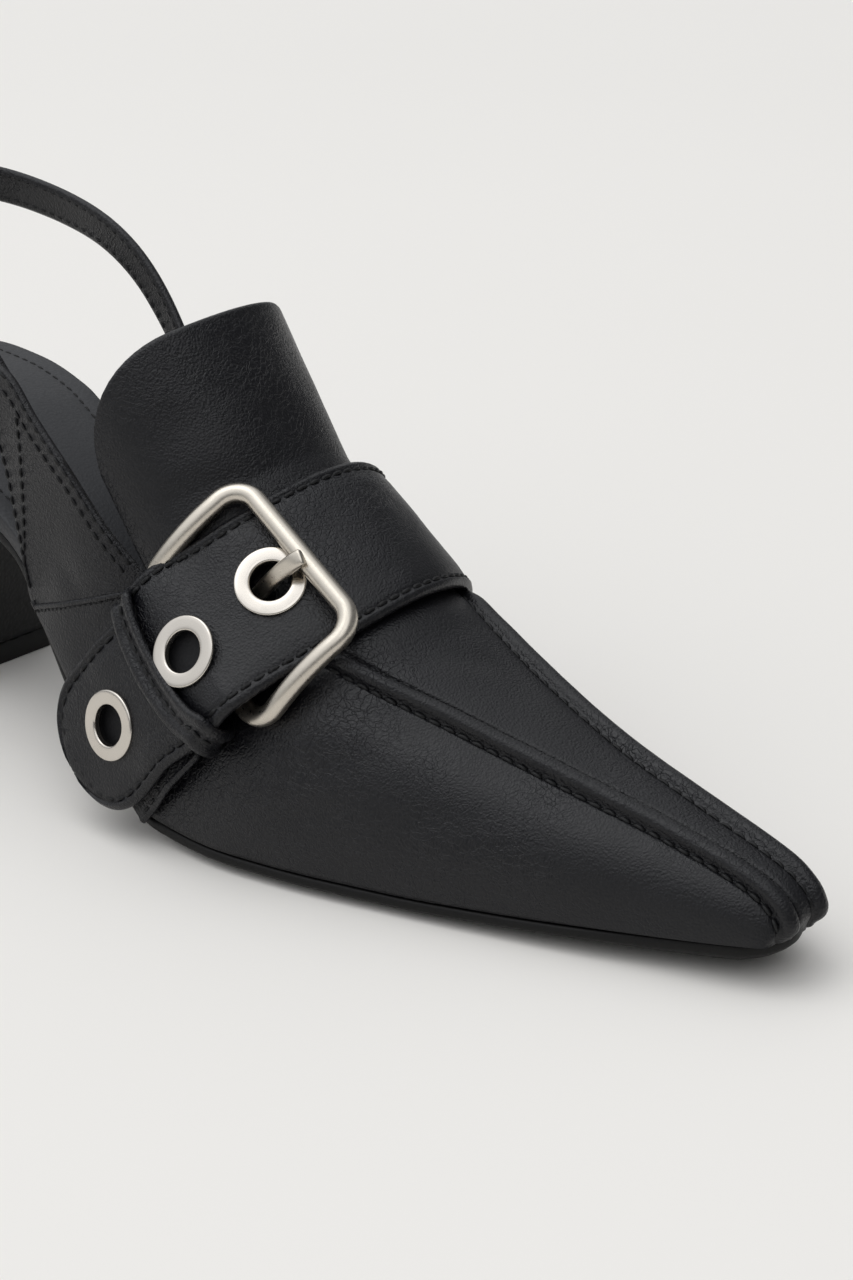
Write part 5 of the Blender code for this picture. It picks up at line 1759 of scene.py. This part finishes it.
# Where the surround glows most, over which span it fades, and its strength away from and at that place
GLOW_FROM = (-0.27, -0.27, 0.925)
GLOW_SPAN = (0.25, 0.92)
GLOW_STRENGTH = (0.2, 1.36)

# Soft panels: place and size in metres, power in watts
PANELS = (
    ("overhead_panel", (-0.5, -0.5, 1.6), (1.2, 1.2), 4.8),
    ("side_panel", (1.1, -1.0, 1.6), (1.4, 1.2), 2.8),
    ("rear_panel", (-1.2, 1.4, 0.9), (1.6, 1.2), 2.0),
)


def set_light():
    """Surround like a soft bright ceiling, with panels overhead, beside the toe and behind."""
    world = bpy.data.worlds.new("studio_surround")
    world.use_nodes = True
    tree = world.node_tree
    back = tree.nodes["Background"]
    back.inputs["Color"].default_value = linear("#f2f4f7")
    towards = add(tree, "ShaderNodeTexCoord").outputs["Generated"]
    facing = add(tree, "ShaderNodeVectorMath", {0: towards, 1: GLOW_FROM}, operation="DOT_PRODUCT")
    ceiling = add(
        tree, "ShaderNodeMapRange",
        {
            "Value": facing.outputs["Value"], "From Min": GLOW_SPAN[0], "From Max": GLOW_SPAN[1],
            "To Min": GLOW_STRENGTH[0], "To Max": GLOW_STRENGTH[1],
        },
        interpolation_type="SMOOTHSTEP",
    )
    tree.links.new(ceiling.outputs[0], back.inputs["Strength"])
    scene = bpy.context.scene
    scene.world = world
    scene.view_settings.view_transform = "Standard"
    for panel in PANELS:
        add_panel(*panel)


def make_looks():
    """Materials of the shoe, each named for what the real one is and how it was made."""
    return {
        # Drum-dyed calf under a sprayed pigment film: near black, satin, crackled where it was lasted
        "leather": leather_finish(
            "pigmented_calf", "#08080b", "#0d0d12",
            rough=0.36, grain_mm=0.45, depth_mm=0.12, wrinkle=0.6, gloss=0.37,
        ),
        # Dyed sheepskin without a film, used inside: dull, soft and even
        "lining": leather_finish(
            "lining_sheepskin", "#141416", "#1a1a1c",
            rough=0.6, grain_mm=0.7, depth_mm=0.08, wrinkle=0.0, gloss=0.25,
        ),
        # Pressed sheepskin over the padded footbed: smooth, a little paler and glossier than the lining
        "insole": leather_finish(
            "sock_sheepskin", "#222326", "#292a2d",
            rough=0.46, grain_mm=0.6, depth_mm=0.07, wrinkle=0.0, gloss=0.45,
        ),
        # Sole leather, sanded and inked at its edge: flat black with only a faint grain
        "sole": leather_finish(
            "inked_sole_edge", "#080808", "#0d0c0c",
            rough=0.48, grain_mm=0.6, depth_mm=0.04, wrinkle=0.0, gloss=0.25,
        ),
        # Thin calf pulled tight over the block: the same black as the upper, with its grain stretched flat
        "heel": leather_finish(
            "heel_calf", "#09090a", "#0e0e0f",
            rough=0.42, grain_mm=0.8, depth_mm=0.08, wrinkle=0.0, gloss=0.3,
        ),
        "thread": thread_finish(),
        "lift": rubber_finish(),
        # Nickel plate on cast zinc, tumbled with stones: a soft, broken, satin shine
        "nickel": metal_finish(
            "tumbled_nickel", "#c4bdb1", "#d0c9be", rough=0.3, brush_mm=0.5, scratch_mm=0.008,
        ),
        # Nickel plate on pressed brass, polished: brighter and smoother than the frame
        "eyelet": metal_finish(
            "polished_nickel", "#c8c2b9", "#d0cac2", rough=0.2, brush_mm=3.0, scratch_mm=0.003,
        ),
    }


def main():
    looks = make_looks()
    for make in (
        make_sole, make_heel, make_upper, make_upper_thread, make_rear_seam, make_strap, make_eyelets,
        make_buckle, make_chape, make_keeper, make_sling, make_insole_thread,
    ):
        make(looks)
    paper_floor()
    set_camera()
    set_light()


main()
